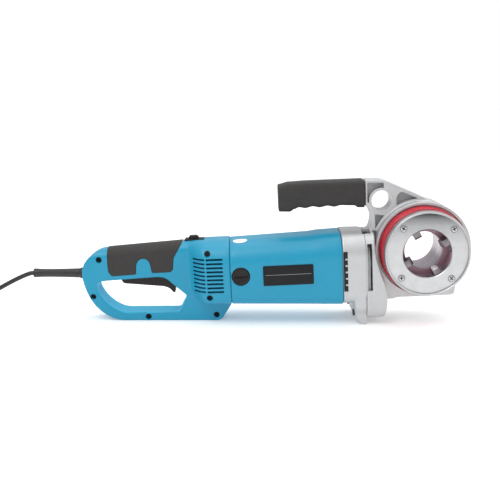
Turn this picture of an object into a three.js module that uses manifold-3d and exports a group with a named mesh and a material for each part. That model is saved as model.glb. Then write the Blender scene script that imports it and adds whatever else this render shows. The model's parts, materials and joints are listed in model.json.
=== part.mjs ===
// Hand-held pipe threading machine: a D-handled electric power drive with a drop-in die head.
// Units are millimetres, +Z is up and +X points to the die head. The origin is on the floor, under the middle.
// The machine rests nose-up by a small tilt, so most parts are drawn in the machine's own frame:
// x along the motor axis, y across, z up, with its origin on the motor axis at the front of the motor housing.
import * as THREE from 'three';
import { mergeVertices } from 'three/addons/utils/BufferGeometryUtils.js';
import Module from 'manifold-3d';

const wasm = await Module();
wasm.setup();

// ---------- driving dimensions ----------
const gap = 0.3;
const tilt = THREE.MathUtils.degToRad(2.7);
const machine = { x: 84.9, y: 6, z: 73.4 };

const barrel = {
  rear: -142, front: 0, half: 41, topRear: 40.4, topFront: 45.4, lowRear: -40.5, lowFront: -47.4, wall: 3,
};
const bell = { shoulder: -188, flat: -176, end: -200, wallFrom: -156 };
const handle = { half: 17.2, bevel: 4, topRadius: 12, cavityHalf: 9 };
const handleTop = { rear: -300, rearZ: 36, front: -202.7, frontZ: 40.4 };
const caseWidth = 41;
const coverLength = 30;
const topSlotSpan = [8, 25];
const headAxis = { x: 104.6, z: 18 };
const arm = { half: 13, web: 5 };
const supportHole = { x: 54.6, z: 82.2, radius: 12.8, boss: 16.2 };

const die = { inner: 20, outer: 48.5, width: 9, front: -47.6, depth: 14, pitch: 2.31, start: 27 };
const coverPlate = { radius: 50.6, hole: 30.6, front: -51, thickness: 3, screwCircle: 44.3, screwStart: 42 };
const rim = { inner: 50.9, outer: 54, front: -54, back: -41, shoulder: 55 };
const flange = { radius: 56, front: -27, back: -22 };
const spigot = { across: 66, end: 2 };
const sleeve = { outer: 29.5, mouth: 23.9, tail: 27.5, front: -24.9, back: 40 };
const lip = { hole: 24.4, front: -28.6 };
const ring = { outer: 61.5, opening: 57.2, face: -25, seat: -21, rear: 34 };
const hub = { radius: 39, front: -19, back: 34 };
const bush = { outer: 43, frontTo: -1.2, rearFrom: 16.2 };

const worm = { teeth: 52, module: 1.6, tip: 9, root: 5.4, from: 84, to: 124, low: 49 };
const wheel = { front: -0.6, back: 15.4, tip: 43.2, root: 39.6 };
const spur = { module: 1.25, pinionTeeth: 8, gearTeeth: 43, from: 19, to: 29 };

const spurDistance = spur.module * (spur.pinionTeeth + spur.gearTeeth) / 2;
const wormAxis = { z: headAxis.z - worm.low, y: 0 };
wormAxis.y = Math.sqrt(spurDistance ** 2 - wormAxis.z ** 2);
const lead = Math.PI * worm.module;

const cord = {
  radius: 3, exitX: -317, height: 60.2, coilX: -472, coilY: -35.5, inner: 25, turnsIn: 3.75, turnsOut: 3.25,
};

// ---------- materials ----------
const paint = (color, roughness, metalness) => new THREE.MeshStandardMaterial({ color, roughness, metalness });
const blue = paint(0x309ec8, 0.42, 0);
const rubber = paint(0x424242, 0.85, 0);
const black = paint(0x1f1f20, 0.5, 0);
const castAluminium = paint(0xc8c9ca, 0.45, 0.85);
const steel = paint(0xd4d4d4, 0.3, 1);
const darkSteel = paint(0x5a5a5e, 0.4, 1);
const red = paint(0xc83c4b, 0.35, 0.1);
const bronze = paint(0xb08a4a, 0.45, 1);
const copper = paint(0xb87343, 0.35, 1);
const carbon = paint(0x2a2a2c, 0.8, 0);

// ---------- solids ----------
function toSolid(geometry) {
  const plain = geometry.clone();
  plain.deleteAttribute('normal');
  plain.deleteAttribute('uv');
  const merged = mergeVertices(plain, 1e-4);
  const triVerts = new Uint32Array(merged.index.array);
  const vertProperties = new Float32Array(merged.attributes.position.array);
  const mesh = new wasm.Mesh({ numProp: 3, vertProperties, triVerts });
  mesh.merge();
  const made = new wasm.Manifold(mesh);
  if (made.volume() > 0) return made;
  for (let i = 0; i < triVerts.length; i += 3) {
    [triVerts[i + 1], triVerts[i + 2]] = [triVerts[i + 2], triVerts[i + 1]];
  }
  return new wasm.Manifold(new wasm.Mesh({ numProp: 3, vertProperties, triVerts }));
}

function toGeometry(solid) {
  const mesh = solid.getMesh();
  const geometry = new THREE.BufferGeometry();
  geometry.setAttribute('position', new THREE.BufferAttribute(new Float32Array(mesh.vertProperties), 3));
  geometry.setIndex(new THREE.BufferAttribute(new Uint32Array(mesh.triVerts), 1));
  return geometry;
}

function join(...solids) {
  return solids.reduce((whole, piece) => whole.add(piece));
}

function cut(whole, ...tools) {
  return tools.reduce((rest, tool) => rest.subtract(tool), whole);
}

function block(x0, x1, y0, y1, z0, z1) {
  const geometry = new THREE.BoxGeometry(x1 - x0, y1 - y0, z1 - z0);
  return toSolid(geometry.translate((x0 + x1) / 2, (y0 + y1) / 2, (z0 + z1) / 2));
}

// A solid turned about the Y axis from [radius, y] points.
function turnedY(profile, segments = 32, start = 0) {
  const points = profile.map(([radius, y]) => new THREE.Vector2(radius, y));
  if (profile[0][0] > 0) points.push(points[0].clone());
  return toSolid(new THREE.LatheGeometry(points, segments, start));
}

// A ring or disc about the Y axis.
function ringY(inner, outer, y0, y1, segments = 32) {
  return turnedY([[inner, y0], [outer, y0], [outer, y1], [inner, y1]], segments);
}

function discY(radius, y0, y1, segments = 32) {
  return turnedY([[0, y0], [radius, y0], [radius, y1], [0, y1]], segments);
}

const yToX = new THREE.Matrix4().set(0, 1, 0, 0, -1, 0, 0, 0, 0, 0, 1, 0, 0, 0, 0, 1);

// A solid turned about the X axis from [radius, x] points, then moved sideways.
function turnedX(profile, segments = 16, y = 0, z = 0) {
  const points = profile.map(([radius, x]) => new THREE.Vector2(radius, x));
  if (profile[0][0] > 0) points.push(points[0].clone());
  return toSolid(new THREE.LatheGeometry(points, segments).applyMatrix4(yToX).translate(0, y, z));
}

function rodX(radius, x0, x1, y = 0, z = 0, segments = 16) {
  return turnedX([[0, x0], [radius, x0], [radius, x1], [0, x1]], segments, y, z);
}

function ringX(inner, outer, x0, x1, y = 0, z = 0, segments = 16) {
  return turnedX([[inner, x0], [outer, x0], [outer, x1], [inner, x1]], segments, y, z);
}

function rodY(radius, y0, y1, x, z, segments = 16) {
  const geometry = new THREE.CylinderGeometry(radius, radius, y1 - y0, segments);
  return toSolid(geometry.translate(x, (y0 + y1) / 2, z));
}

// A side outline of [x, z] points, extruded across the machine from y0 to y1, with rounded edges if asked.
function side(outline, y0, y1, bevel = 0) {
  const shape = new THREE.Shape(outline.map(([x, z]) => new THREE.Vector2(x, z)));
  const geometry = new THREE.ExtrudeGeometry(shape, {
    depth: y1 - y0 - 2 * bevel,
    bevelEnabled: bevel > 0,
    bevelThickness: bevel,
    bevelSize: bevel,
    bevelOffset: -bevel,
    bevelSegments: 1,
    curveSegments: 5,
  });
  return toSolid(geometry.rotateX(Math.PI / 2).translate(0, y1 - bevel, 0));
}

// Rings of points with the same count, skinned and capped into one closed solid.
function loft(rings, capOutline) {
  const count = rings[0].length;
  const positions = rings.flat().flatMap((p) => [p.x, p.y, p.z]);
  const index = [];
  for (let i = 0; i + 1 < rings.length; i += 1) {
    for (let k = 0; k < count; k += 1) {
      const a = i * count + k;
      const b = i * count + ((k + 1) % count);
      index.push(a, b, b + count, a, b + count, a + count);
    }
  }
  const last = (rings.length - 1) * count;
  for (const [a, b, c] of THREE.ShapeUtils.triangulateShape(capOutline, [])) {
    index.push(b, a, c, last + a, last + b, last + c);
  }
  const geometry = new THREE.BufferGeometry();
  geometry.setAttribute('position', new THREE.Float32BufferAttribute(positions, 3));
  geometry.setIndex(index);
  return toSolid(geometry);
}

// One cross-section of a moulded housing, as [y, z] points: flat sides, a rounded top and a less rounded bottom.
function section(half, top, low, topRadius, lowRadius, steps = 4) {
  const corners = [
    [half - topRadius, top - topRadius, topRadius, 0],
    [-(half - topRadius), top - topRadius, topRadius, 90],
    [-(half - lowRadius), low + lowRadius, lowRadius, 180],
    [half - lowRadius, low + lowRadius, lowRadius, 270],
  ];
  return corners.flatMap(([y, z, radius, from]) => {
    const points = [];
    for (let i = 0; i <= steps; i += 1) {
      const angle = THREE.MathUtils.degToRad(from + (90 * i) / steps);
      points.push([y + radius * Math.cos(angle), z + radius * Math.sin(angle)]);
    }
    return points;
  });
}

// A housing lofted through stations of { x, half, top, low, topRadius, lowRadius }.
function housing(stations, inset = 0) {
  const rings = stations.map((s) => section(
    s.half - inset, s.top - inset, s.low + inset, s.topRadius - inset, Math.max(s.lowRadius - inset, 1),
  ).map(([y, z]) => new THREE.Vector3(s.x, y, z)));
  const outline = rings[0].map((p) => new THREE.Vector2(p.y, p.z));
  return loft(rings, outline);
}

// The [y, z] outline of a spur gear with straight-flanked teeth; the first tooth points along startAngle.
function gearOutline(teeth, root, tip, rootTooth, tipTooth, startAngle) {
  const points = [];
  for (let i = 0; i < teeth; i += 1) {
    const middle = startAngle + (2 * Math.PI * i) / teeth;
    const corners = [[root, -rootTooth], [tip, -tipTooth], [tip, tipTooth], [root, rootTooth]];
    for (const [radius, offset] of corners) {
      const angle = middle + offset / (2 * radius);
      points.push([radius * Math.cos(angle), radius * Math.sin(angle)]);
    }
  }
  return points;
}

// A gear about the X axis, centred on y, z, with a round bore when bore is given.
function gearX(outline, x0, x1, y, z, bore = 0) {
  const rings = [x0, x1].map((x) => outline.map(([a, b]) => new THREE.Vector3(x, a + y, b + z)));
  const whole = loft(rings, outline.map(([a, b]) => new THREE.Vector2(a, b)));
  return bore ? cut(whole, rodX(bore, x0 - 1, x1 + 1, y, z)) : whole;
}

function screwHead(cross, radius, depth) {
  const across = block(-radius * 0.6, radius * 0.6, -depth, depth, -cross / 2, cross / 2);
  const along = block(-cross / 2, cross / 2, -depth, depth, -radius * 0.6, radius * 0.6);
  return join(across, along);
}

// ---------- scene graph ----------
const model = new THREE.Group();
const body = new THREE.Group();
body.rotation.y = -tilt;
body.position.set(machine.x, machine.y, machine.z);
model.add(body);
const head = new THREE.Group();
head.position.set(headAxis.x, 0, headAxis.z);
body.add(head);

function add(name, solid, material, parent = body) {
  const mesh = new THREE.Mesh(toGeometry(solid), material);
  mesh.name = name;
  parent.add(mesh);
  return mesh;
}

// The height of the floor in the machine's frame, at x.
function floorAt(x) {
  return -(machine.z + x * Math.sin(tilt)) / Math.cos(tilt);
}

function polar(radius, degrees) {
  const angle = THREE.MathUtils.degToRad(degrees);
  return [radius * Math.cos(angle), radius * Math.sin(angle)];
}

// ---------- rear handle ----------
const handleOutline = [
  [-142.4, 41.6], [-176, 41.3], [handleTop.front, handleTop.frontZ], [handleTop.rear, handleTop.rearZ],
  [-309.5, 34.4], [-318.4, 30.6], [-326.6, 24.8], [-332.4, 17.4], [-335.3, 9.4], [-335.9, 2], [-334.6, -8],
  [-331.8, -18], [-328, -28.2], [-322.9, -37.2], [-314, -47.2], [-304.3, -53.5], [-296, -58],
  [-287, floorAt(-287)], [-162.4, floorAt(-162.4)], [-156.5, -63.5], [-144.2, -45.3], [-142.6, -41],
];
const handleHole = [
  [-310.6, -6.4], [-284.2, -5.4], [-239, -4], [-227.9, -5.2], [-219.7, -13.3], [-200.8, -31], [-212.8, -51.9],
  [-280.1, -49.3], [-288.8, -47.7], [-300.8, -40.5], [-310, -31], [-315.5, -21.7], [-318, -13.9], [-316.4, -8.7],
];
const padOutline = [
  [-300, 46], [-202.5, 50], [-202.5, 43.6], [-215.6, 20.7], [-217.3, 5.6], [-220.6, 2.5], [-244.3, 2.3],
  [-245.5, 10.6], [-246.9, 17], [-250, 20.6], [-254, 21.9], [-258, 21.4], [-261.7, 19.1], [-264.5, 14.2],
  [-265.5, 1.5], [-296.6, 0.4], [-300.5, 5.6], [-301, 14.6],
];
const padThickness = 3;

// Stations of a bar under the handle's top line, for rounding its upper edges.
function handleTopStations() {
  const slope = (handleTop.frontZ - handleTop.rearZ) / (handleTop.front - handleTop.rear);
  const station = (x) => ({
    x, half: handle.half, top: handleTop.rearZ + slope * (x - handleTop.rear), low: -90,
    topRadius: handle.topRadius, lowRadius: 4,
  });
  const front = { ...station(-141), top: 41.6 };
  return [station(-345), station(handleTop.rear - 4), station(handleTop.front + 0.7), front];
}

// The solid that the rubber pad is wrapped over.
function gripCore(clear) {
  const drop = padThickness + clear;
  const stations = handleTopStations().slice(1, 3).map((s) => ({ ...s, low: -1, lowRadius: 1 + drop }));
  return housing(stations, drop);
}

function bellStations() {
  const station = (x, half, top, low, topRadius, lowRadius) => ({ x, half, top, low, topRadius, lowRadius });
  return [
    station(bell.end, 15, 37, -20, 10, 8),
    station(bell.shoulder, 26, 40.6, -37, 22, 12),
    station(bell.flat, 38, 41, -40, 30, 14),
    station(barrel.rear - gap, barrel.half, barrel.topRear, barrel.lowRear, 30, 14),
  ];
}

function ventSlots(sign) {
  const slots = [];
  for (let row = 0; row < 9; row += 1) {
    const z = 19.9 - row * 5.2;
    const [y0, y1] = sign < 0 ? [-44, -30] : [30, 44];
    slots.push(block(-172, -152, y0, y1, z - 1, z + 1));
    const [y2, y3] = sign < 0 ? [-44, -22] : [22, 44];
    slots.push(block(-187, -175, y2, y3, z - 0.5, z + 1.5));
  }
  return slots;
}

const handleScrews = [
  { x: -312.1, z: 22.4, y: handle.half }, { x: -323.1, z: -26.2, y: handle.half },
  { x: -253, z: -56.1, y: handle.half }, { x: -163.9, z: -57.6, y: handle.half },
  { x: -170.5, z: 27.2, y: 38 }, { x: -170.1, z: -29.4, y: 38 },
];
const handleScrewRadius = 1.9;

function handleBody() {
  const bar = side(handleOutline, -handle.half, handle.half, handle.bevel);
  const loop = bar.intersect(housing(handleTopStations()));
  const opening = side(handleHole, -handle.half - 1, handle.half + 1);
  const inside = bellStations().filter((s) => s.x > bell.end + 1);
  inside[inside.length - 1] = { ...inside[inside.length - 1], x: bell.wallFrom };
  const hollow = housing(inside.map((s) => ({ ...s, top: s.top - 1 })), barrel.wall + 1);
  const triggerSlot = [
    [-291, -12], [-291, 8], [-266, 8], [-266, 34], [-224, 34], [-224, 8], [-206, 8], [-206, -24],
  ];
  const shell = join(loop, housing(bellStations()));
  const reliefHole = rodX(5.5, -345, -322, 0, 2.4, 16);
  const reliefPocket = rodX(7.5, -328.4, -321.6, 0, 2.2, 16);
  const bearingSeat = rodX(11.3, -156.5, -140, 0, 0);
  const switchSeat = block(-202, -174.4, -8, 8, 39.6, 60);
  return cut(
    shell, opening, hollow, side(triggerSlot, -handle.cavityHalf, handle.cavityHalf),
    reliefHole, reliefPocket, bearingSeat, switchSeat, ...ventSlots(-1), ...ventSlots(1),
  );
}

function addHandle() {
  const whole = handleBody();
  const padRoom = side(padOutline, -50, 50);
  const near = block(-360, -100, -60, -gap / 2, -90, 60);
  const far = block(-360, -100, gap / 2, 60, -90, 60);
  const padSpace = cut(padRoom, gripCore(gap));
  const padSolid = cut(side(padOutline, -50, 50), gripCore(0));
  const screwHoles = handleScrews.map(({ x, z, y }) => join(
    rodY(4, -y - 12, -y + 9, x, z, 10),
    rodY(handleScrewRadius + gap, -y + 5, 12, x, z, 6),
  ));
  const shells = cut(cut(whole, padSpace), ...screwHoles);
  const pads = whole.intersect(padSolid);
  add('handle_shell_near', shells.intersect(near), blue);
  add('handle_shell_far', shells.intersect(far), blue);
  const padTrim = 0.35;
  const shrink = side(padOutline.map(([x, z]) => [-252 + (x + 252) * 0.993, 20 + (z - 20) * 0.986]), -50, 50);
  add('grip_pad_near', pads.intersect(shrink).intersect(near.translate([0, -padTrim / 4, 0])), rubber);
  add('grip_pad_far', pads.intersect(shrink).intersect(far.translate([0, padTrim / 4, 0])), rubber);
  handleScrews.forEach(({ x, z, y }, i) => {
    const headSolid = rodY(3.5, -y + 5.8, -y + 8.6, x, z, 10);
    const shank = rodY(handleScrewRadius, -y + 8.5, 11.5, x, z, 6);
    const cross = screwHead(1, 3.5, 1.4).translate([x, -y + 5.8, z]);
    add(`handle_screw_${i + 1}`, cut(join(headSolid, shank), cross), darkSteel);
  });
}

function addControls() {
  const lever = [
    [-286.5, -8], [-284, -11.8], [-281.5, -12.6], [-230.5, -18.9], [-224.4, -21.7], [-219.6, -27.1],
    [-217.2, -28.6], [-215.6, -16.9], [-220, -9], [-226, -2], [-236, 2], [-276, 2], [-284, 0.5], [-286.5, -3],
  ];
  add('trigger_lever', side(lever, -8, 8, 1), black);
  const switchBox = block(-262, -228, -8, 8, 14, 32);
  const plunger = rodZ(3, 10.5, 14.5, -240, 0);
  add('switch_module', join(switchBox, plunger), carbon);
  const base = side([[-201, 40], [-174.8, 40], [-176, 42], [-200, 42.6]], -7, 7);
  add('reverser_base', base, black);
  const knob = [[-195.3, 43], [-182.3, 42.5], [-183.8, 45.9], [-186.5, 46.3], [-192, 46.5], [-194.3, 46]];
  add('reverser_knob', side(knob, -5, 5, 0.6), black);
}

function rodZ(radius, z0, z1, x, y, segments = 12) {
  const geometry = new THREE.CylinderGeometry(radius, radius, z1 - z0, segments).rotateX(Math.PI / 2);
  return toSolid(geometry.translate(x, y, (z0 + z1) / 2));
}

// ---------- motor ----------
const brush = { x: -129.2, z: -2.6, capRadius: 11.4 };

function barrelStations() {
  const { rear: x, half, topRear: top, lowRear: low } = barrel;
  const rear = { x, half, top, low, topRadius: 30, lowRadius: 14 };
  const front = { ...rear, x: barrel.front, top: barrel.topFront, low: barrel.lowFront };
  return [rear, front];
}

function addMotorHousing() {
  const outer = housing(barrelStations());
  const reach = barrelStations().map((s, i) => ({ ...s, x: s.x + (i ? 1 : -1) }));
  const inner = housing(reach, barrel.wall);
  const capHoles = rodY(brush.capRadius + gap, -60, 60, brush.x, brush.z, 24);
  add('motor_housing', cut(outer, inner, capHoles), blue);
  const face = barrel.half;
  add('name_plate', block(-100.9, -37.2, -face - 0.9, -face - gap, -16, 9.6), black);
  for (const [label, sign] of [['near', -1], ['far', 1]]) {
    const [y0, y1] = sign < 0 ? [-face - 0.8, -face + 5] : [face - 5, face + 0.8];
    const disc = rodY(brush.capRadius, y0, y1, brush.x, brush.z, 24);
    const slotY = sign * (face + 0.8);
    const slot = block(brush.x - 8, brush.x + 8, slotY - 1.6, slotY + 1.6, brush.z - 1.2, brush.z + 1.2);
    add(`brush_cap_${label}`, cut(disc, slot), black);
    const [b0, b1] = sign < 0 ? [-face + 5.4, -14.6] : [14.6, face - 5.4];
    add(`carbon_brush_${label}`, block(brush.x - 4, brush.x + 4, b0, b1, brush.z - 6, brush.z + 6), carbon);
  }
  add('field_stator', ringX(21.6, 33, -100, -40, 0, 0, 24), darkSteel);
}

function armatureLamination() {
  const points = [];
  const slots = 12;
  for (let i = 0; i < slots; i += 1) {
    const middle = (2 * Math.PI * i) / slots;
    for (const [radius, step] of [[20.3, -0.2], [20.3, 0], [20.3, 0.2], [13, 0.22], [13, 0.3]]) {
      points.push([radius * Math.cos(middle + step), radius * Math.sin(middle + step)]);
    }
  }
  return points;
}

function addArmature() {
  const phase = Math.atan2(wormAxis.z, wormAxis.y) + Math.PI / spur.pinionTeeth;
  const outline = gearOutline(spur.pinionTeeth, 3.5, 6.1, 2.1, 0.7, phase);
  const pinion = gearX(outline, 15, 33, 0, 0);
  const shaft = turnedX([[0, -154], [5, -154], [5, 6], [3.4, 6], [3.4, 37], [0, 37]], 14);
  add('armature_shaft', join(shaft, pinion), steel);
  const lamination = gearX(armatureLamination(), -98, -42, 0, 0, 5 + gap);
  add('armature_core', lamination, darkSteel);
  add('commutator', ringX(5 + gap, 14, -138, -121), copper);
  const disc = ringX(5 + gap, 30, -12, -10, 0, 0, 24);
  const hubRing = ringX(5 + gap, 10, -26, -10);
  const blades = [];
  for (let i = 0; i < 7; i += 1) {
    const angle = (2 * Math.PI * i) / 7;
    const blade = block(-24, -11, -1, 1, 9, 29).rotate([(angle * 180) / Math.PI, 0, 0]);
    blades.push(blade);
  }
  add('cooling_fan', join(disc, hubRing, ...blades), black);
  add('rear_bearing', ringX(5 + gap, 11, -153, -144), steel);
  add('front_bearing', ringX(5 + gap, 12, -3, 5.6), steel);
}

// ---------- gear case ----------
const lugOutline = [
  [14.5, -48], [15, -62], [19.3, -69], [21.2, floorAt(21.2)], [28, floorAt(28)], [29, -69.3], [coverLength, -66],
  [coverLength, -48],
];
const caseScrew = { y: 28, z: -59.5, radius: 2.4 };

function addGearCover() {
  const station = (x, top, low) => ({ x, half: caseWidth, top, low, topRadius: 30, lowRadius: 14 });
  const upper = housing([station(gap, 46.4, -46.2), station(coverLength, 45.8, -46.2)]);
  const lower = housing([
    { x: 12.5, half: 36, top: -12, low: -50, topRadius: 6, lowRadius: 16 },
    { x: 15, half: 39.5, top: -12, low: -66, topRadius: 6, lowRadius: 20 },
    { x: coverLength, half: 39.5, top: -12, low: -68.2, topRadius: 6, lowRadius: 20 },
  ]);
  const lugs = [1, -1].map((sign) => {
    const [y0, y1] = sign > 0 ? [21, 35] : [-35, -21];
    return side(lugOutline, y0, y1);
  });
  const upperHollow = housing([
    { x: 6.8, half: 37, top: 42.2, low: -42, topRadius: 26, lowRadius: 10 },
    { x: coverLength + 1, half: 37, top: 42.2, low: -42, topRadius: 26, lowRadius: 10 },
  ]);
  const lowerHollow = housing([
    { x: 17.5, half: 35.8, top: -12, low: -63.5, topRadius: 4, lowRadius: 17 },
    { x: coverLength + 1, half: 35.8, top: -12, low: -63.8, topRadius: 4, lowRadius: 17 },
  ]);
  const bosses = [1, -1].map((sign) => rodX(5.6, 14, coverLength, sign * caseScrew.y, caseScrew.z, 16));
  const windows = [1, -1].flatMap((sign) => {
    const [y0, y1] = sign > 0 ? [36, 50] : [-50, -36];
    const [y2, y3] = sign > 0 ? topSlotSpan : [-topSlotSpan[1], -topSlotSpan[0]];
    return [block(1, 6.4, y0, y1, -28.4, 23), block(coverLength - 3, coverLength + 1, y2, y3, 34, 60)];
  });
  const screwHoles = [1, -1].map((sign) => join(
    rodX(caseScrew.radius + gap, 5, coverLength + 5, sign * caseScrew.y, caseScrew.z, 10),
    rodX(4.9, 2, 17, sign * caseScrew.y, caseScrew.z, 16),
  ));
  const shell = cut(join(upper, lower, ...lugs), upperHollow, lowerHollow);
  const gearCover = cut(
    join(shell, ...bosses), ...windows, ...screwHoles,
    rodX(12 + gap, -5, 6.2), rodX(7.5, 5, 9, 0, 0),
    rodX(9.3, 5, 12.5, wormAxis.y, wormAxis.z),
  );
  const wormSeat = cut(
    rodX(12.5, 5, 12.5, wormAxis.y, wormAxis.z),
    rodX(9.3, 6.8, 13, wormAxis.y, wormAxis.z),
  );
  add('gear_cover', join(gearCover, wormSeat), castAluminium);
  for (const [label, sign] of [['near', -1], ['far', 1]]) {
    const [y0, y1] = sign < 0 ? [-40.6, -36.3] : [36.3, 40.6];
    const plate = block(1.3, 6.1, y0, y1, -28.1, 22.7);
    const cells = [];
    for (let i = 0; i < 6; i += 1) {
      const z = -24.3 + i * 8.3;
      const [c0, c1] = sign < 0 ? [-42, -38] : [38, 42];
      cells.push(block(1.9, 5.5, c0, c1, z - 3, z + 3));
    }
    add(`outlet_grille_${label}`, cut(plate, ...cells), black);
  }
  [-1, 1].forEach((sign, i) => {
    const headSolid = rodX(4.3, 12.5, 16.8, sign * caseScrew.y, caseScrew.z, 16);
    const shank = rodX(caseScrew.radius, 16.7, 42, sign * caseScrew.y, caseScrew.z, 12);
    const socket = rodX(2, 11.5, 15, sign * caseScrew.y, caseScrew.z, 6);
    add(`case_screw_${i + 1}`, cut(join(headSolid, shank), socket), darkSteel);
  });
}

// ---------- worm shaft ----------
function wormThread() {
  const stepsPerTurn = 8;
  const turns = (worm.to - worm.from) / lead;
  const rings = [];
  const half = (radius) => 1.05 - (radius - (worm.tip - worm.module)) * Math.tan(THREE.MathUtils.degToRad(20));
  const core = worm.root - 0.6;
  const profile = [
    [core, -half(core)], [worm.tip, -half(worm.tip)], [worm.tip, half(worm.tip)], [core, half(core)],
  ];
  for (let i = 0; i <= turns * stepsPerTurn; i += 1) {
    const turn = i / stepsPerTurn - turns / 2;
    const angle = Math.PI / 2 + 2 * Math.PI * turn;
    rings.push(profile.map(([radius, x]) => new THREE.Vector3(
      headAxis.x + lead * turn + x,
      wormAxis.y + radius * Math.cos(angle),
      wormAxis.z + radius * Math.sin(angle),
    )));
  }
  return loft(rings, profile.map(([radius, x]) => new THREE.Vector2(radius, x)));
}

function addWormShaft() {
  const { y, z } = wormAxis;
  const shaft = turnedX([
    [0, 7.4], [5, 7.4], [5, 56], [worm.root, 56], [worm.root, 133], [5, 133], [5, 141], [0, 141],
  ], 14, y, z);
  add('worm_shaft', join(shaft, wormThread()), steel);
  const phase = Math.atan2(-wormAxis.z, -wormAxis.y);
  const outline = gearOutline(spur.gearTeeth, 25.3, 28, 1.95, 0.75, phase);
  add('reduction_gear', gearX(outline, spur.from, spur.to, y, z, 5 + gap), darkSteel);
  add('worm_rear_bearing', ringX(5 + gap, 9, 7.6, 13.5, y, z), steel);
  add('worm_front_bearing', ringX(5 + gap, 10.6, 49.5, 55.5, y, z), steel);
  add('worm_nose_bearing', ringX(5 + gap, 9.6, 133.6, 140.4, y, z), steel);
}

// ---------- head casting ----------
const caseSide = [
  [coverLength + gap, 45.6], [36, 45.3], [40, 44.3], [42.3, 42.6], [41.4, 28], [42.3, 13.5], [47.6, -5.8],
  [53.4, -22.2], [55.6, -33], [56, -45], [54.3, -58], [52.2, -67.2], [coverLength + gap, -68.2],
];
const caseHollow = [
  [coverLength - 1, 42.2], [36, 42.2], [38.2, 28], [38.8, 13.5], [43.4, -6], [48.4, -22], [48.9, -45], [47.4, -60],
  [46, -63.6], [coverLength - 1, -63.6],
];
const plateFrom = 31.6;
const plateTo = 35.6;
const armOutline = [
  [33.7, 76.5], [33.7, 108.4], [35, 109.4], [55.6, 108.3], [63, 105.6], [100.9, 87.5], [121.7, 76.6], [121, 40],
  [60, 40], [37.4, 44], [38.8, 47.6], [40.6, 53], [41.6, 59.3], [40.9, 65], [39.2, 69.8], [36.4, 74],
];
const footOutline = [
  [148.3, -20], [146.9, -28.9], [144.6, -41.5], [141.5, -43.3], [70.4, -43.3], [66.2, -44.8], [54, -44.8],
  [48, -7],
];

function pocketPrisms(outline, cutouts = []) {
  const depth = arm.half - arm.web;
  const bands = [[-arm.half - 1, -arm.half + depth], [arm.half - depth, arm.half + 1]];
  return bands.map(([y0, y1]) => cut(side(outline, y0, y1), ...cutouts));
}

function headPockets() {
  const boss = rodY(supportHole.boss, -20, 20, supportHole.x, supportHole.z, 24);
  const rim = rodY(ring.outer + 3, -20, 20, headAxis.x, headAxis.z, 40);
  return [
    ...pocketPrisms([[36.3, 80.4], [36.3, 105.9], [57.5, 104.8], [57.5, 92], [46, 78]], [boss]),
    ...pocketPrisms([[73.2, 74], [73.6, 86], [77, 91.2], [81.5, 92], [103, 81.8], [103, 74]], [rim]),
    ...pocketPrisms([[45.4, 64.8], [57.5, 63], [57.5, 50], [46, 48]], [boss, rim]),
  ];
}

function addHeadCasting() {
  const { x, z } = headAxis;
  const onAxis = (solid) => solid.translate([x, 0, z]);
  const caseSection = housing([
    { x: coverLength + gap, half: caseWidth, top: 45.8, low: -68.4, topRadius: 30, lowRadius: 18 },
    { x: 62, half: caseWidth, top: 45.8, low: -68.4, topRadius: 30, lowRadius: 18 },
  ]);
  const gearCase = side(caseSide, -caseWidth - 1, caseWidth + 1).intersect(caseSection);
  const hollowSection = housing([
    { x: coverLength - 1, half: 36.8, top: 42.4, low: -63.8, topRadius: 26, lowRadius: 15 },
    { x: 62, half: 36.8, top: 42.4, low: -63.8, topRadius: 26, lowRadius: 15 },
  ]);
  const hollow = side(caseHollow, -40, 40).intersect(hollowSection);
  const drum = onAxis(discY(ring.outer, ring.face, ring.rear, 40));
  const foot = side(footOutline, ring.face, ring.rear);
  const armPlate = side(armOutline, -arm.half, arm.half);
  const tang = rodX(8.5, -58, 40, 0, 93, 16);
  const bosses = [1, -1].map((sign) => rodX(5.6, coverLength + gap, 46, sign * caseScrew.y, caseScrew.z, 16));
  const bossTrim = bosses.map((boss) => boss.intersect(side(caseSide, -caseWidth, caseWidth)));
  const wormTunnel = rodX(10, 45, 143, wormAxis.y, wormAxis.z, 20);
  const bearingSeat = rodX(10.6 + gap, 45, 56, wormAxis.y, wormAxis.z);
  const screwHoles = [1, -1].map((sign) => (
    rodX(caseScrew.radius + gap, 25, 44, sign * caseScrew.y, caseScrew.z, 12)
  ));
  const sideSlots = [1, -1].map((sign) => {
    const [y0, y1] = sign > 0 ? [30, 50] : [-50, -30];
    return block(31.4, 37.4, y0, y1, -29, 31);
  });
  const topSlots = [1, -1].map((sign) => {
    const [y0, y1] = sign > 0 ? topSlotSpan : [-topSlotSpan[1], -topSlotSpan[0]];
    return block(coverLength - 3, 37.8, y0, y1, 34, 60);
  });
  const whole = join(join(cut(gearCase, hollow), ...bossTrim), drum, foot, armPlate, tang);
  const casting = cut(
    whole, ...headPockets(), rodY(supportHole.radius, -30, 30, supportHole.x, supportHole.z, 24),
    onAxis(discY(ring.opening, ring.face - 5, ring.seat, 40)),
    onAxis(discY(bush.outer + gap, ring.seat - 2, ring.rear + 2, 40)),
    onAxis(discY(50, -3, ring.rear + 2, 40)),
    wormTunnel, bearingSeat, ...screwHoles, ...sideSlots, ...topSlots,
  );
  add('head_casting', casting, castAluminium);
}

// The plate that steadies the ends of the armature and the worm shaft, seen through the side slots.
function addBearingPlate() {
  const station = (x) => ({ x, half: 36.4, top: 33.6, low: -63.4, topRadius: 25.6, lowRadius: 14.6 });
  const plate = housing([station(plateFrom), station(plateTo)]);
  const hole = (radius, y, z) => rodX(radius, plateFrom - 1, plateTo + 1, y, z);
  const holes = [hole(8, 0, 0), hole(8, wormAxis.y, wormAxis.z)];
  const screwHoles = [1, -1].map((sign) => hole(6, sign * caseScrew.y, caseScrew.z));
  add('bearing_plate', cut(plate, ...holes, ...screwHoles), castAluminium);
}

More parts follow.
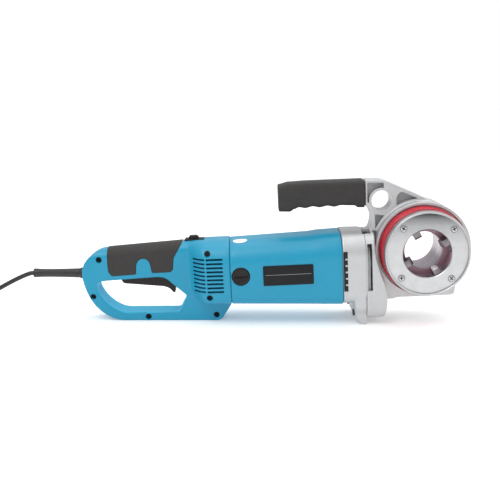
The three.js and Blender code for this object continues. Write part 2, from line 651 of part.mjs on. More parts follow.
function addRingBearings() {
  add('front_bush', ringY(hub.radius + gap, bush.outer, hub.front, bush.frontTo), bronze, head);
  add('rear_bush', ringY(hub.radius + gap, bush.outer, bush.rearFrom, hub.back), bronze, head);
  const collar = ringY(bush.outer + gap, 49.6, 22, ring.rear + 1);
  const plate = ringY(hub.radius + gap, 60, ring.rear + gap, sleeve.back);
  const seat = discY(bush.outer + gap, 20, ring.rear + gap + 0.2);
  add('rear_ring_cover', cut(join(plate, collar), seat), castAluminium, head);
}

function addDriveRing() {
  const outline = gearOutline(worm.teeth, wheel.root, wheel.tip, 3.1, 1.35, -Math.PI / 2 + Math.PI / worm.teeth);
  const slope = lead / (2 * Math.PI * (worm.tip - worm.module)) / (worm.teeth * worm.module / 2);
  const rings = [wheel.front, wheel.back].map((y) => {
    const turn = -slope * (y - wormAxis.y);
    return outline.map(([a, b]) => new THREE.Vector3(
      a * Math.cos(turn) - b * Math.sin(turn), y, a * Math.sin(turn) + b * Math.cos(turn),
    ));
  });
  const teeth = loft(rings, outline.map(([a, b]) => new THREE.Vector2(a, b)));
  const hubSolid = discY(hub.radius, hub.front, hub.back, 40);
  const socketRadius = (spigot.across / 2 + gap + 0.1) / Math.cos(Math.PI / 8);
  const socket = turnedY([[0, -30], [socketRadius, -30], [socketRadius, 4], [0, 4]], 8, Math.PI / 8);
  const bore = discY(sleeve.outer + gap + 0.4, 3, 45);
  add('drive_ring', cut(join(teeth, hubSolid), socket, bore), darkSteel, head);
}

// ---------- die head ----------
function addDieHead() {
  const c = coverPlate;
  const plateBack = c.front + c.thickness;
  const screwAt = [0, 1, 2, 3].map((i) => polar(c.screwCircle, c.screwStart + 90 * i));
  const cores = screwAt.map(([x, z]) => rodY(2 + gap, plateBack - 8, plateBack + 12.5, x, z, 8));
  const sinkProfile = [[0, -1], [5.2, -1], [2.3, 2.9], [0, 2.9]];
  const sinks = screwAt.map(([x, z]) => turnedY(sinkProfile, 12).translate([x, c.front, z]));
  const plate = turnedY([
    [c.hole, c.front + 0.6], [c.hole + 0.6, c.front], [c.radius, c.front], [c.radius, plateBack - gap],
    [c.hole, plateBack - gap],
  ], 40);
  add('cover_plate', cut(plate, ...cores, ...sinks), steel, head);
  screwAt.forEach(([x, z], i) => {
    const top = turnedY([[0, 0.1], [4, 0.1], [2, 2.6], [2, 15], [0, 15]], 12).translate([x, c.front, z]);
    const cross = screwHead(0.9, 3.2, 1.2).translate([x, c.front + 0.1, z]);
    add(`cover_screw_${i + 1}`, cut(top, cross), steel, head);
  });

  add('die_head_rim', ringY(rim.inner, rim.outer, rim.front, rim.back, 40), steel, head);
  const core = ringY(c.hole, c.radius, plateBack, flange.back, 40);
  const shoulder = ringY(c.hole, rim.shoulder, rim.back + gap, flange.back, 40);
  const collar = ringY(c.hole, flange.radius, flange.front, flange.back, 40);
  const lipRing = ringY(lip.hole, c.hole + 0.5, lip.front, flange.back, 40);
  const spigotRadius = spigot.across / 2 / Math.cos(Math.PI / 8);
  const spigotFrom = flange.back - 1;
  const plug = turnedY([
    [0, spigotFrom], [spigotRadius, spigotFrom], [spigotRadius, spigot.end], [0, spigot.end],
  ], 8, Math.PI / 8);
  const sleeveSeat = discY(sleeve.outer + gap, sleeve.front - gap, 10);
  const lipHole = discY(lip.hole, lip.front - 1, sleeve.front, 40);
  const mouth = discY(c.hole, plateBack - 5, lip.front, 40);
  const halfSlot = die.width / 2 + gap;
  const slot = block(-halfSlot, halfSlot, -60, die.front + die.depth + gap, 20, die.outer + gap);
  const slots = [0, 1, 2, 3].map((i) => slot.rotate([0, 90 - die.start - 90 * i, 0]));
  const solid = join(core, shoulder, collar, lipRing, plug);
  add('die_head_body', cut(solid, sleeveSeat, lipHole, mouth, ...slots, ...cores), red, head);

  for (let i = 0; i < 4; i += 1) {
    const solid = side(dieOutline(), -die.width / 2, die.width / 2);
    const turned = solid.rotate([0, 0, -90]).rotate([0, 90 - die.start - 90 * i, 0]);
    add(`thread_die_${i + 1}`, turned, darkSteel, head);
  }
  const tube = turnedY([
    [sleeve.mouth, sleeve.front + 1], [sleeve.mouth + 1, sleeve.front], [sleeve.outer, sleeve.front],
    [sleeve.outer, sleeve.back], [sleeve.tail, sleeve.back],
  ], 48);
  add('guide_sleeve', tube, steel, head);
}

// One die in its own plane: first coordinate runs back along the pipe, second outward, with cutting teeth inside.
function dieOutline() {
  const from = die.front;
  const to = die.front + die.depth;
  const points = [[-from, die.outer], [-to, die.outer], [-to, die.inner + 1.2]];
  const toothCount = 5;
  for (let i = 0; i < toothCount; i += 1) {
    const back = to - 1.2 - i * die.pitch;
    const lift = Math.max(0, i - 2) * 0.5;
    points.push([-back, die.inner + 1.2 + lift], [-(back - die.pitch / 2), die.inner + lift]);
  }
  points.push([-(from + 1.5), die.inner + 3], [-from, die.inner + 5]);
  return points;
}

// ---------- carrying grip ----------
function addCarryGrip() {
  const outline = [
    [33, 73.4], [33, 104.2], [32.2, 107.6], [29.4, 109.9], [-46.3, 110.4], [-64.1, 110.1], [-74.5, 107.3],
    [-77, 92], [-76.2, 73.4], [-62.5, 72.4], [-54.5, 76.4], [-50.3, 77.6], [-42.7, 75.6], [-33.3, 78],
    [-24.4, 76], [-14.4, 78], [-6, 76], [3, 77.6], [19.4, 76.6], [24, 73.6],
  ];
  const sleeveSolid = side(outline, -17, 17, 5);
  add('carry_grip', cut(sleeveSolid, rodX(8.8, -58.4, 50, 0, 93, 16)), rubber);
}

// ---------- supply cord ----------
function tubeAlong(points, steps) {
  const spots = points.map(([x, y, z]) => new THREE.Vector3(x, y, z));
  const curve = new THREE.CatmullRomCurve3(spots, false, 'centripetal');
  const circle = new THREE.Shape();
  circle.absarc(0, 0, cord.radius, 0, 2 * Math.PI);
  return toSolid(new THREE.ExtrudeGeometry(circle, { extrudePath: curve, steps, curveSegments: 4 }));
}

function coilRing(inner, outer, height, clear = 0) {
  const [from, to, top] = [inner - clear, outer + clear, height + clear];
  const profile = [[from, -clear], [to, -clear], [to, top], [from, top]];
  return turnedY(profile, 24).rotate([90, 0, 0]).translate([cord.coilX, cord.coilY, 0]);
}

function addCord() {
  const { exitX, height, coilX, coilY, radius } = cord;
  const relief = turnedX([
    [0, -237.3], [6.8, -237.3], [6.8, -241.9], [4.9, -241.9], [4.9, -251], [7.2, -252.4], [7.2, -255],
    [6.2, -257], [5.4, -284], [5, -310], [5.5, -313], [5.5, exitX + gap], [0, exitX + gap],
  ], 16, machine.y, height);
  add('strain_relief', relief, black, model);

  const coilInner = cord.inner - radius;
  const coilOuter = cord.inner + 2 * radius * cord.turnsIn + radius;
  const coilHeight = 4 * radius;
  const keepOut = coilRing(coilInner, coilOuter, coilHeight, gap);
  const lead = tubeAlong([
    [exitX, 6, height], [-320.5, 6, 59.9], [-325.5, 6, 58.4], [-332, 6, 55.8], [-341, 6, 51.6], [-351, 6, 46.4],
    [-361.5, 6.1, 40.7],
    [-372, 6.3, 34.8], [-384, 6.8, 27.9], [-397, 7.6, 20.9], [-411, 8.8, 14], [-425, 10, 8.5], [-439, 11.2, 4.9],
    [-453, 11.8, 3.1],
  ], 18);
  add('cord_lead', cut(lead, keepOut), black, model);
  add('cord_coil', coilRing(coilInner, coilOuter, coilHeight), black, model);

  const lastY = coilY - cord.inner - 2 * radius * cord.turnsOut;
  const plugY = lastY - 12.5;
  const tail = tubeAlong([
    [coilX, lastY, 9], [coilX + 12, lastY - 0.8, 9], [coilX + 24, lastY - 5.2, 9.4],
    [coilX + 36, lastY - 10.4, 9.8],
    [coilX + 48, plugY, 10], [coilX + 56, plugY, 10],
  ], 8);
  const moulding = turnedX([
    [0, 50], [4, 50], [5.2, 68], [9, 73], [9, 92], [10, 97], [10, 105], [0, 105],
  ], 16, plugY, 10);
  const pins = [-1, 1].map((sign) => rodX(2.3, 104, 124, plugY + sign * 6.5, 10, 10));
  const plug = join(moulding, ...pins).translate([coilX, 0, 0]);
  add('power_plug', join(plug, cut(tail, keepOut)), black, model);
}

addHandle();
addControls();
addMotorHousing();
addArmature();
addGearCover();
addWormShaft();
addHeadCasting();
addBearingPlate();
addRingBearings();
addDriveRing();
addDieHead();
addCarryGrip();
addCord();

export default model;
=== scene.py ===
"""Looks of a hand-held pipe threading machine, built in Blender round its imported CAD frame.

Most pieces are drawn in the machine's own frame, in millimetres: x along the motor axis towards the die
head, y across, z up, with the origin on the motor axis at the front of the motor housing. Die head pieces
are drawn about the head's axis, and the cord and its plug from the floor up. place() carries a finished
piece into the frame in metres.
"""

import json
import math
from contextlib import contextmanager

import bmesh
import bpy
from mathutils import Matrix, Vector


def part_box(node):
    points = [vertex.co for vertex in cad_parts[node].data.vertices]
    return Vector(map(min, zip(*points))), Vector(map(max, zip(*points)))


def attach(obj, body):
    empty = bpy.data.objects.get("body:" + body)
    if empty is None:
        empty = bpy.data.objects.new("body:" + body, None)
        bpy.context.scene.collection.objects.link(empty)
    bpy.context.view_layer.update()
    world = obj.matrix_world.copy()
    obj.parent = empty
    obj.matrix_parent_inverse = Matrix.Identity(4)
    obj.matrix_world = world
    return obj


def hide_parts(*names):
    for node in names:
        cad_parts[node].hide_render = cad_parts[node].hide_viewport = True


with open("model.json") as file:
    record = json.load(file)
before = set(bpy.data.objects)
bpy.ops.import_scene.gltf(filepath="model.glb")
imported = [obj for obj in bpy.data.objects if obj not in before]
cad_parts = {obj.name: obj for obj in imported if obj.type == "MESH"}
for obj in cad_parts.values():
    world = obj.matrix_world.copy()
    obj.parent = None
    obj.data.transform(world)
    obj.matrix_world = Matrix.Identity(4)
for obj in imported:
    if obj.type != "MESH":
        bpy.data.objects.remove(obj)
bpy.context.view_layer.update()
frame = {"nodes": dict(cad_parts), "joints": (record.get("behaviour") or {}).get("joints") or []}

# ---------- where things are, from the frame ----------
MM = 0.001
JOINTS = {joint["name"]: joint for joint in frame["joints"]}
MOTOR_AXIS = Vector(JOINTS["armature_spin"]["axis"])
TILT = math.atan2(MOTOR_AXIS.z, MOTOR_AXIS.x)
MID_Y = sum(corner.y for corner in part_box("motor_housing")) / 2
HEAD_X, HEAD_Z = 104.6, 18.0
HEAD_CENTRE = Vector(JOINTS["drive_ring_spin"]["pos_m"])
HEAD_CENTRE.y = MID_Y
SPIN = Matrix.Rotation(-TILT, 4, "Y")
SCALE = Matrix.Scale(MM, 4)
HEAD = Matrix.Translation(HEAD_CENTRE) @ SPIN @ SCALE
MACHINE = HEAD @ Matrix.Translation((-HEAD_X, 0, -HEAD_Z))
FLOOR = Matrix.Translation((0, MID_Y, 0)) @ SCALE
MACHINE_Z = MACHINE.translation.z / MM


def floor_at(x):
    """The height of the floor in the machine's frame."""
    return -(MACHINE_Z + x * math.sin(TILT)) / math.cos(TILT)


def new_object(name, data):
    obj = bpy.data.objects.new(name, data)
    bpy.context.scene.collection.objects.link(obj)
    return obj


# ---------- camera ----------
CAMERA_LENS = 54.72
CAMERA_PITCH = math.radians(11.38)
camera_data = bpy.data.cameras.new("camera")
camera_data.lens = CAMERA_LENS
camera_data.sensor_width = 36
camera = new_object("camera", camera_data)
camera.location = (-0.0325, -0.970, 0.2874)
camera.rotation_euler = (math.pi / 2 - CAMERA_PITCH, 0, 0)
bpy.context.scene.camera = camera


# ---------- materials ----------
MICRON = 1e-6
GLOSS_RANGE = 0.06


def principled(material):
    return material.node_tree.nodes["Principled BSDF"]


def node_tree(name):
    material = bpy.data.materials.new(name)
    material.use_nodes = True
    tree = material.node_tree
    shader = tree.nodes["Principled BSDF"]
    coords = tree.nodes.new("ShaderNodeTexCoord").outputs["Object"]
    return material, tree, shader, coords


def set_inputs(node, **values):
    """Sets a node's inputs by name, with _ in place of a space."""
    for name, value in values.items():
        node.inputs[name.replace("_", " ")].default_value = value


def noise(tree, coords, per_metre, detail=3, roughness=0.5):
    node = tree.nodes.new("ShaderNodeTexNoise")
    set_inputs(node, Scale=per_metre, Detail=detail, Roughness=roughness)
    tree.links.new(coords, node.inputs["Vector"])
    return node.outputs["Fac"]


def ramp(tree, value, stops):
    node = tree.nodes.new("ShaderNodeValToRGB")
    tree.links.new(value, node.inputs["Fac"])
    elements = node.color_ramp.elements
    while len(elements) < len(stops):
        elements.new(0.5)
    for element, (position, colour) in zip(elements, stops):
        element.position = position
        element.color = (*colour, 1)
    return node.outputs["Color"]


def spread(tree, value, low, high, start=0.3, end=0.7):
    node = tree.nodes.new("ShaderNodeMapRange")
    set_inputs(node, From_Min=start, From_Max=end, To_Min=low, To_Max=high)
    tree.links.new(value, node.inputs["Value"])
    return node.outputs["Result"]


def bump(tree, shader, height, depth):
    node = tree.nodes.new("ShaderNodeBump")
    set_inputs(node, Distance=depth, Strength=1)
    tree.links.new(height, node.inputs["Height"])
    previous = shader.inputs["Normal"].links
    if previous:
        tree.links.new(previous[0].from_socket, node.inputs["Normal"])
    tree.links.new(node.outputs["Normal"], shader.inputs["Normal"])


def linear(colour):
    """sRGB 0-255 to linear."""
    return tuple(((c / 255 + 0.055) / 1.055) ** 2.4 if c > 10 else c / 255 / 12.92 for c in colour)


def shade(colour, factor):
    return tuple(c * factor for c in colour)


def mottled(tree, coords, colour, mottle, patches):
    """The colour in patches a little lighter and darker."""
    base = linear(colour)
    stops = [(0.3, shade(base, 1 - mottle)), (0.7, shade(base, 1 + mottle))]
    return ramp(tree, noise(tree, coords, patches, 4), stops)


def grained(name, colour, roughness, metallic, grain, depth, mottle, patches):
    """A surface with fine grain, faint patches of colour and an uneven gloss."""
    material, tree, shader, coords = node_tree(name)
    tree.links.new(mottled(tree, coords, colour, mottle, patches), shader.inputs["Base Color"])
    shader.inputs["Metallic"].default_value = metallic
    gloss = noise(tree, coords, patches * 5, 5, 0.65)
    uneven = spread(tree, gloss, roughness - GLOSS_RANGE, roughness + GLOSS_RANGE)
    tree.links.new(uneven, shader.inputs["Roughness"])
    bump(tree, shader, noise(tree, coords, grain, 4, 0.6), depth * MICRON)
    return material


def vector_math(tree, operation, vector, other=(0, 0, 0)):
    node = tree.nodes.new("ShaderNodeVectorMath")
    node.operation = operation
    node.inputs[1].default_value = other
    tree.links.new(vector, node.inputs[0])
    return node


def turned(name, colour, roughness, metallic, lines, depth):
    """Machined metal with fine circular tool marks about the head's axis."""
    material, tree, shader, coords = node_tree(name)
    centred = vector_math(tree, "SUBTRACT", coords, HEAD_CENTRE)
    flat = vector_math(tree, "MULTIPLY", centred.outputs[0], (1, 0, 1))
    radius = vector_math(tree, "LENGTH", flat.outputs[0])
    rings = tree.nodes.new("ShaderNodeTexNoise")
    rings.noise_dimensions = "1D"
    set_inputs(rings, Scale=lines, Detail=3)
    tree.links.new(radius.outputs["Value"], rings.inputs["W"])
    tree.links.new(mottled(tree, coords, colour, 0.05, 90), shader.inputs["Base Color"])
    shader.inputs["Metallic"].default_value = metallic
    uneven = spread(tree, rings.outputs["Fac"], roughness - 0.07, roughness + 0.09)
    tree.links.new(uneven, shader.inputs["Roughness"])
    bump(tree, shader, rings.outputs["Fac"], depth * MICRON)
    bump(tree, shader, noise(tree, coords, 900, 3), depth * MICRON * 0.6)
    return material


def painted_rim_shadow_on_cover(material):
    """Painted shade: the cover's colour darkens towards the top of its face, standing in for the shadow the
    raised rim casts there.
    """
    tree = material.node_tree
    shader = principled(material)
    colour = shader.inputs["Base Color"].links[0].from_socket
    split = tree.nodes.new("ShaderNodeSeparateXYZ")
    coords = tree.nodes.new("ShaderNodeTexCoord")
    tree.links.new(coords.outputs["Object"], split.inputs[0])
    height = spread(tree, split.outputs["Z"], 0, 1, HEAD_CENTRE.z + 0.012, HEAD_CENTRE.z + 0.05)
    # How dark the painted shade gets, from the middle of the face up to its top edge.
    levels = ((0.0, 1.0), (0.6, 0.72), (0.82, 0.45), (1.0, 0.1))
    tint = ramp(tree, height, [(position, (level, level, level)) for position, level in levels])
    mix = tree.nodes.new("ShaderNodeMix")
    mix.data_type = "RGBA"
    mix.blend_type = "MULTIPLY"
    mix.inputs["Factor"].default_value = 1.0
    tree.links.new(colour, mix.inputs[6])
    tree.links.new(tint, mix.inputs[7])
    tree.links.new(mix.outputs[2], shader.inputs["Base Color"])


# Name, sRGB colour, roughness, metallic, grains per metre, their depth in microns, mottling and
# patches per metre.
GRAINED = {
    "blue": ("moulded_blue", (4, 142, 177), 0.4, 0, 2600, 30, 0.03, 25),
    # A lighter copy of the blue: painted light for the faces inside the hand opening.
    "blue_painted_light": ("moulded_blue_painted_light", (64, 186, 222), 0.6, 0, 2600, 30, 0.03, 25),
    "rubber": ("grip_rubber", (46, 44, 43), 0.72, 0, 3200, 120, 0.08, 45),
    "black": ("moulded_black", (15, 14, 15), 0.46, 0, 2400, 40, 0.1, 60),
    "trigger": ("trigger_plastic", (30, 22, 21), 0.4, 0, 2400, 40, 0.1, 60),
    "cast": ("cast_aluminium", (192, 193, 194), 0.46, 0.62, 1700, 90, 0.02, 70),
    # Pocket floors: a darker grey, partly a darker paint and partly painted shade for the recesses.
    "pocket": ("pocket_grey", (163, 163, 164), 0.55, 0.5, 1300, 160, 0.08, 80),
    "die": ("die_steel", (130, 124, 128), 0.34, 0.9, 2600, 50, 0.12, 120),
    "dark_steel": ("oxidised_steel", (70, 70, 74), 0.4, 0.9, 2200, 40, 0.14, 120),
    "bright": ("ground_steel", (190, 190, 192), 0.28, 0.95, 2600, 30, 0.06, 120),
    "red": ("red_enamel", (190, 30, 52), 0.3, 0.15, 1500, 40, 0.07, 60),
    # The red carrier's front bore in a greyer red: painted shade of the red enamel inside the bore.
    "red_painted_shade": ("bore_red_painted_shade", (160, 128, 138), 0.38, 0.5, 1500, 60, 0.1, 70),
    "bronze": ("bearing_bronze", (176, 132, 70), 0.38, 0.95, 1800, 50, 0.1, 90),
    "copper": ("commutator_copper", (190, 112, 70), 0.32, 0.95, 2400, 40, 0.1, 150),
    "carbon": ("pressed_carbon", (44, 44, 46), 0.75, 0, 2600, 80, 0.15, 150),
    "cord": ("cord_sheath", (36, 36, 37), 0.38, 0, 1800, 50, 0.12, 70),
    "label": ("label_black", (10, 12, 15), 0.5, 0, 900, 10, 0.08, 40),
    "label_line": ("label_print", (168, 170, 172), 0.4, 0, 900, 10, 0.05, 40),
    "sticker": ("paper_white", (236, 236, 238), 0.5, 0, 1200, 10, 0.02, 40),
    "pin": ("nickel_pin", (196, 190, 178), 0.24, 0.95, 2600, 20, 0.05, 150),
    "lamination": ("lamination_steel", (110, 108, 108), 0.45, 0.8, 2200, 100, 0.15, 150),
}
# Name, sRGB colour, roughness, metallic, tool marks per metre and their depth in microns.
TURNED = {
    "steel": ("turned_steel", (188, 189, 190), 0.34, 0.9, 2600, 30),
    "cover": ("faced_cover_painted_shade", (196, 197, 198), 0.34, 0.8, 1700, 30),
    "bore": ("bored_sleeve", (176, 166, 174), 0.33, 0.75, 2200, 30),
}
SPECULAR = {"blue_painted_light": 0.12, "trigger": 0.3, "black": 0.35, "label": 0.3}
SHEEN = {"blue": 0.08, "blue_painted_light": 0.22}


def make_materials():
    made = {look: grained(*values) for look, values in GRAINED.items()}
    made.update({look: turned(*values) for look, values in TURNED.items()})
    # The cover's face gets painted shade towards its top.
    painted_rim_shadow_on_cover(made["cover"])
    for look, level in SPECULAR.items():
        principled(made[look]).inputs["Specular IOR Level"].default_value = level
    for look, weight in SHEEN.items():
        principled(made[look]).inputs["Sheen Weight"].default_value = weight
        principled(made[look]).inputs["Sheen Roughness"].default_value = 0.4
    return made


MATERIAL = make_materials()


# ---------- mesh work, in millimetres ----------
@contextmanager
def editing(mesh):
    work = bmesh.new()
    work.from_mesh(mesh)
    yield work
    work.to_mesh(mesh)
    work.free()


def draft(vertices, faces):
    mesh = bpy.data.meshes.new("draft")
    mesh.from_pydata([tuple(v) for v in vertices], [], faces)
    with editing(mesh) as work:
        bmesh.ops.recalc_face_normals(work, faces=work.faces)
    return new_object("draft", mesh)


def drop(obj):
    mesh = obj.data
    bpy.data.objects.remove(obj)
    bpy.data.meshes.remove(mesh)


def applied(obj, kind, **settings):
    """The object with one modifier made permanent."""
    modifier = obj.modifiers.new("step", kind)
    for key, value in settings.items():
        setattr(modifier, key, value)
    shown = obj.evaluated_get(bpy.context.evaluated_depsgraph_get())
    mesh = bpy.data.meshes.new_from_object(shown)
    obj.modifiers.clear()
    old, obj.data = obj.data, mesh
    bpy.data.meshes.remove(old)
    return obj


def joined(parts):
    """One object holding all the parts' meshes."""
    first, *others = parts
    with editing(first.data) as work:
        for part in others:
            work.from_mesh(part.data)
    for part in others:
        drop(part)
    return first


def cut(obj, *tools, operation="DIFFERENCE"):
    tool = joined(list(tools))
    applied(obj, "BOOLEAN", object=tool, operation=operation, solver="EXACT", use_self=len(tools) > 1)
    drop(tool)
    return obj


def copy_of(obj):
    return new_object("draft", obj.data.copy())


def moulded(obj, voxel, passes):
    """One smooth skin round whatever solids the object holds: edges and corners come out rounded."""
    applied(obj, "REMESH", mode="VOXEL", voxel_size=voxel, adaptivity=0)
    return applied(obj, "SMOOTH", factor=0.5, iterations=passes)


def bevelled(obj, width, segments=3, angle=30):
    return applied(
        obj, "BEVEL", width=width, segments=segments, limit_method="ANGLE", angle_limit=math.radians(angle),
        use_clamp_overlap=True,
    )


def rounded(points, radius=40.0, steps=5):
    """An outline of (x, z) or (x, z, radius) points with every corner rounded off."""
    out = []
    for i, point in enumerate(points):
        here = Vector(point[:2])
        back = Vector(points[i - 1][:2]) - here
        ahead = Vector(points[(i + 1) % len(points)][:2]) - here
        corner_radius = point[2] if len(point) > 2 else radius
        angle = back.angle(ahead)
        if corner_radius <= 0 or angle > math.pi - 0.01:
            out.append(here)
            continue
        reach = min(corner_radius / math.tan(angle / 2), 0.49 * back.length, 0.49 * ahead.length)
        start = here + back.normalized() * reach
        end = here + ahead.normalized() * reach
        for k in range(steps + 1):
            t = k / steps
            out.append(start * (1 - t) ** 2 + here * (2 * t * (1 - t)) + end * t ** 2)
    return out


def prism(outline, y0, y1):
    """A side outline of (x, z) points, from y0 to y1."""
    count = len(outline)
    vertices = [(p[0], y, p[1]) for y in (y0, y1) for p in outline]
    faces = [tuple(range(count)), tuple(range(2 * count - 1, count - 1, -1))]
    faces += [(i, (i + 1) % count, count + (i + 1) % count, count + i) for i in range(count)]
    return draft(vertices, faces)


def skin(rings, closed=False):
    """Rings of points with the same count, skinned, with flat ends or closed on themselves."""
    count = len(rings[0])
    vertices = [p for ring in rings for p in ring]
    faces = []
    for i in range(len(rings) if closed else len(rings) - 1):
        a = i * count
        b = ((i + 1) % len(rings)) * count
        faces += [(a + k, a + (k + 1) % count, b + (k + 1) % count, b + k) for k in range(count)]
    if not closed:
        faces += [tuple(range(count)), tuple(range(len(vertices) - count, len(vertices)))]
    return draft(vertices, faces)


def turned_solid(profile, centre, axis, segments=96, start=0.0):
    """(radius, distance) points turned about an axis through centre: axis is "X" or "Y"."""
    hollow = min(r for r, _ in profile) > 0
    rings = []
    for k in range(segments):
        angle = start + 2 * math.pi * k / segments
        c, s = math.cos(angle), math.sin(angle)
        if axis == "Y":
            rings.append([Vector(centre) + Vector((r * c, d, r * s)) for r, d in profile])
        else:
            rings.append([Vector(centre) + Vector((d, r * c, r * s)) for r, d in profile])
    count = len(profile)
    vertices = [p for ring in rings for p in ring]
    faces = []
    for k in range(segments):
        a, b = k * count, ((k + 1) % segments) * count
        for i in range(count if hollow else count - 1):
            j = (i + 1) % count
            faces.append((a + i, a + j, b + j, b + i))
    obj = draft(vertices, faces)
    with editing(obj.data) as work:
        bmesh.ops.remove_doubles(work, verts=work.verts, dist=1e-4)
        bmesh.ops.dissolve_degenerate(work, edges=work.edges, dist=1e-5)
        bmesh.ops.recalc_face_normals(work, faces=work.faces)
    return obj


def rod(radius, d0, d1, centre, axis, segments=48):
    return turned_solid([(0, d0), (radius, d0), (radius, d1), (0, d1)], centre, axis, segments)


def block(x0, x1, y0, y1, z0, z1):
    return prism([(x0, z0), (x1, z0), (x1, z1), (x0, z1)], y0, y1)


SIDES = (("near", -1), ("far", 1))


def both_sides(inner, outer):
    """The two spans of y between two distances from the middle."""
    return (-outer, -inner), (inner, outer)


def section(x, half, top, low, top_radius, low_radius, steps=12):
    """A moulded housing's cross-section at x: flat sides, a rounded top, a less rounded bottom."""
    corners = [
        (half - top_radius, top - top_radius, top_radius, 0),
        (-(half - top_radius), top - top_radius, top_radius, 90),
        (-(half - low_radius), low + low_radius, low_radius, 180),
        (half - low_radius, low + low_radius, low_radius, 270),
    ]
    ring = []
    for y, z, radius, first in corners:
        for k in range(steps + 1):
            angle = math.radians(first + 90 * k / steps)
            ring.append(Vector((x, y + radius * math.cos(angle), z + radius * math.sin(angle))))
    return ring


def housing(stations, steps=12):
    return skin([section(*station, steps=steps) for station in stations])


def straight(x0, x1, *shape):
    """A housing with the same section from x0 to x1."""
    return housing([(x0, *shape), (x1, *shape)])


def dress(obj, look, sharp):
    """One look all over, with smooth shading that breaks where faces meet at more than sharp degrees."""
    obj.data.materials.clear()
    obj.data.materials.append(MATERIAL[look])
    for polygon in obj.data.polygons:
        polygon.use_smooth = True
        polygon.material_index = 0
    if sharp:
        obj.data.set_sharp_from_angle(angle=math.radians(sharp))


def place(obj, name, look, replaces=None, body="housing", matrix=MACHINE, sharp=32):
    """Moves a drafted mesh into the frame, dresses it and hands it to its body."""
    obj.name = obj.data.name = name
    obj.data.transform(matrix)
    dress(obj, look, sharp)
    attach(obj, body)
    if replaces:
        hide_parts(replaces)
    return obj


def repaint(obj, look, matrix, chosen):
    """Another look for the faces that chosen(centre, normal) picks, both in the frame of the drawing."""
    obj.data.materials.append(MATERIAL[look])
    back = matrix.inverted()
    turn = back.to_3x3()
    for polygon in obj.data.polygons:
        if chosen(back @ polygon.center, (turn @ polygon.normal).normalized()):
            polygon.material_index = len(obj.data.materials) - 1


# ---------- cord ----------
CORD_RADIUS = 3.0
COIL_X, COIL_Y = -472.0, -41.5
COIL_INNER = 25.0
TURNS_IN, TURNS_OUT = 3.75, 3.25
CORD_Z, PLUG_Z = 60.2, 10
LAST_TURN_Y = COIL_Y - COIL_INNER - 2 * CORD_RADIUS * TURNS_OUT
PLUG_Y = LAST_TURN_Y - 12.5


def coil_point(radius, angle, height):
    return COIL_X + radius * math.cos(angle), COIL_Y + radius * math.sin(angle), height


def cord_route():
    """From the strain relief down to the floor, wound in a flat two-layer coil, and out to the plug."""
    route = [
        (-317, 0, CORD_Z), (-320.5, 0, 59.9), (-325.5, 0, 58.4), (-332, 0, 55.8), (-341, 0, 51.6),
        (-351, 0, 46.4), (-361.5, 0.1, 40.7), (-372, 0.3, 34.8), (-384, 0.8, 27.9), (-397, 1.6, 20.9),
        (-411, 2.8, 14), (-425, 4, 8.5), (-439, 5.2, 4.9), (-453, 5.8, 3.3),
    ]
    per_turn = 16
    outer = COIL_INNER + 2 * CORD_RADIUS * TURNS_IN
    half_turn = per_turn // 2
    for k in range(int(TURNS_IN * per_turn) + 1):
        angle = math.radians(90) + 2 * math.pi * k / per_turn
        radius = outer - 2 * CORD_RADIUS * k / per_turn
        route.append(coil_point(radius, angle, CORD_RADIUS + 0.1))
    last_angle = math.radians(90) + 2 * math.pi * TURNS_IN
    for k in range(1, half_turn + 1):
        angle = last_angle + 2 * math.pi * k / per_turn
        lift = 2 * CORD_RADIUS * (0.5 - 0.5 * math.cos(math.pi * k / half_turn))
        route.append(coil_point(COIL_INNER, angle, CORD_RADIUS + 0.1 + lift))
    last_angle += math.pi
    for k in range(1, int(TURNS_OUT * per_turn) + 1):
        angle = last_angle + 2 * math.pi * k / per_turn
        radius = COIL_INNER + 2 * CORD_RADIUS * k / per_turn
        route.append(coil_point(radius, angle, 3 * CORD_RADIUS - 0.1))
    route += [
        (COIL_X + 12, LAST_TURN_Y - 0.8, 9), (COIL_X + 24, LAST_TURN_Y - 5.2, 9.4),
        (COIL_X + 36, LAST_TURN_Y - 10.4, 9.8), (COIL_X + 48, PLUG_Y, PLUG_Z),
    ]
    return route


def add_cord():
    route = cord_route()
    points = [FLOOR @ Vector(p) for p in route]
    curve = bpy.data.curves.new("mains_cord", "CURVE")
    curve.dimensions = "3D"
    curve.resolution_u = 6
    curve.bevel_depth = CORD_RADIUS * MM * 0.985
    curve.bevel_resolution = 6
    curve.use_fill_caps = True
    spline = curve.splines.new("BEZIER")
    spline.bezier_points.add(len(points) - 1)
    for bezier, point in zip(spline.bezier_points, points):
        bezier.co = point
        bezier.handle_left_type = bezier.handle_right_type = "AUTO"
    cord = new_object("mains_cord", curve)
    curve.materials.append(MATERIAL["cord"])
    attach(cord, "housing")
    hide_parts("cord_lead", "cord_coil")

    add_plug_moulding()
    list(add_plug_pins())
    add_cord_tie()


def squarish(count, power):
    """(across, up) points of a rounded square of half width 1: the lower the power, the squarer."""
    points = []
    for k in range(count):
        angle = 2 * math.pi * k / count
        c, s = math.cos(angle), math.sin(angle)
        points.append((math.copysign(abs(c) ** power, c), math.copysign(abs(s) ** power, s)))
    return points


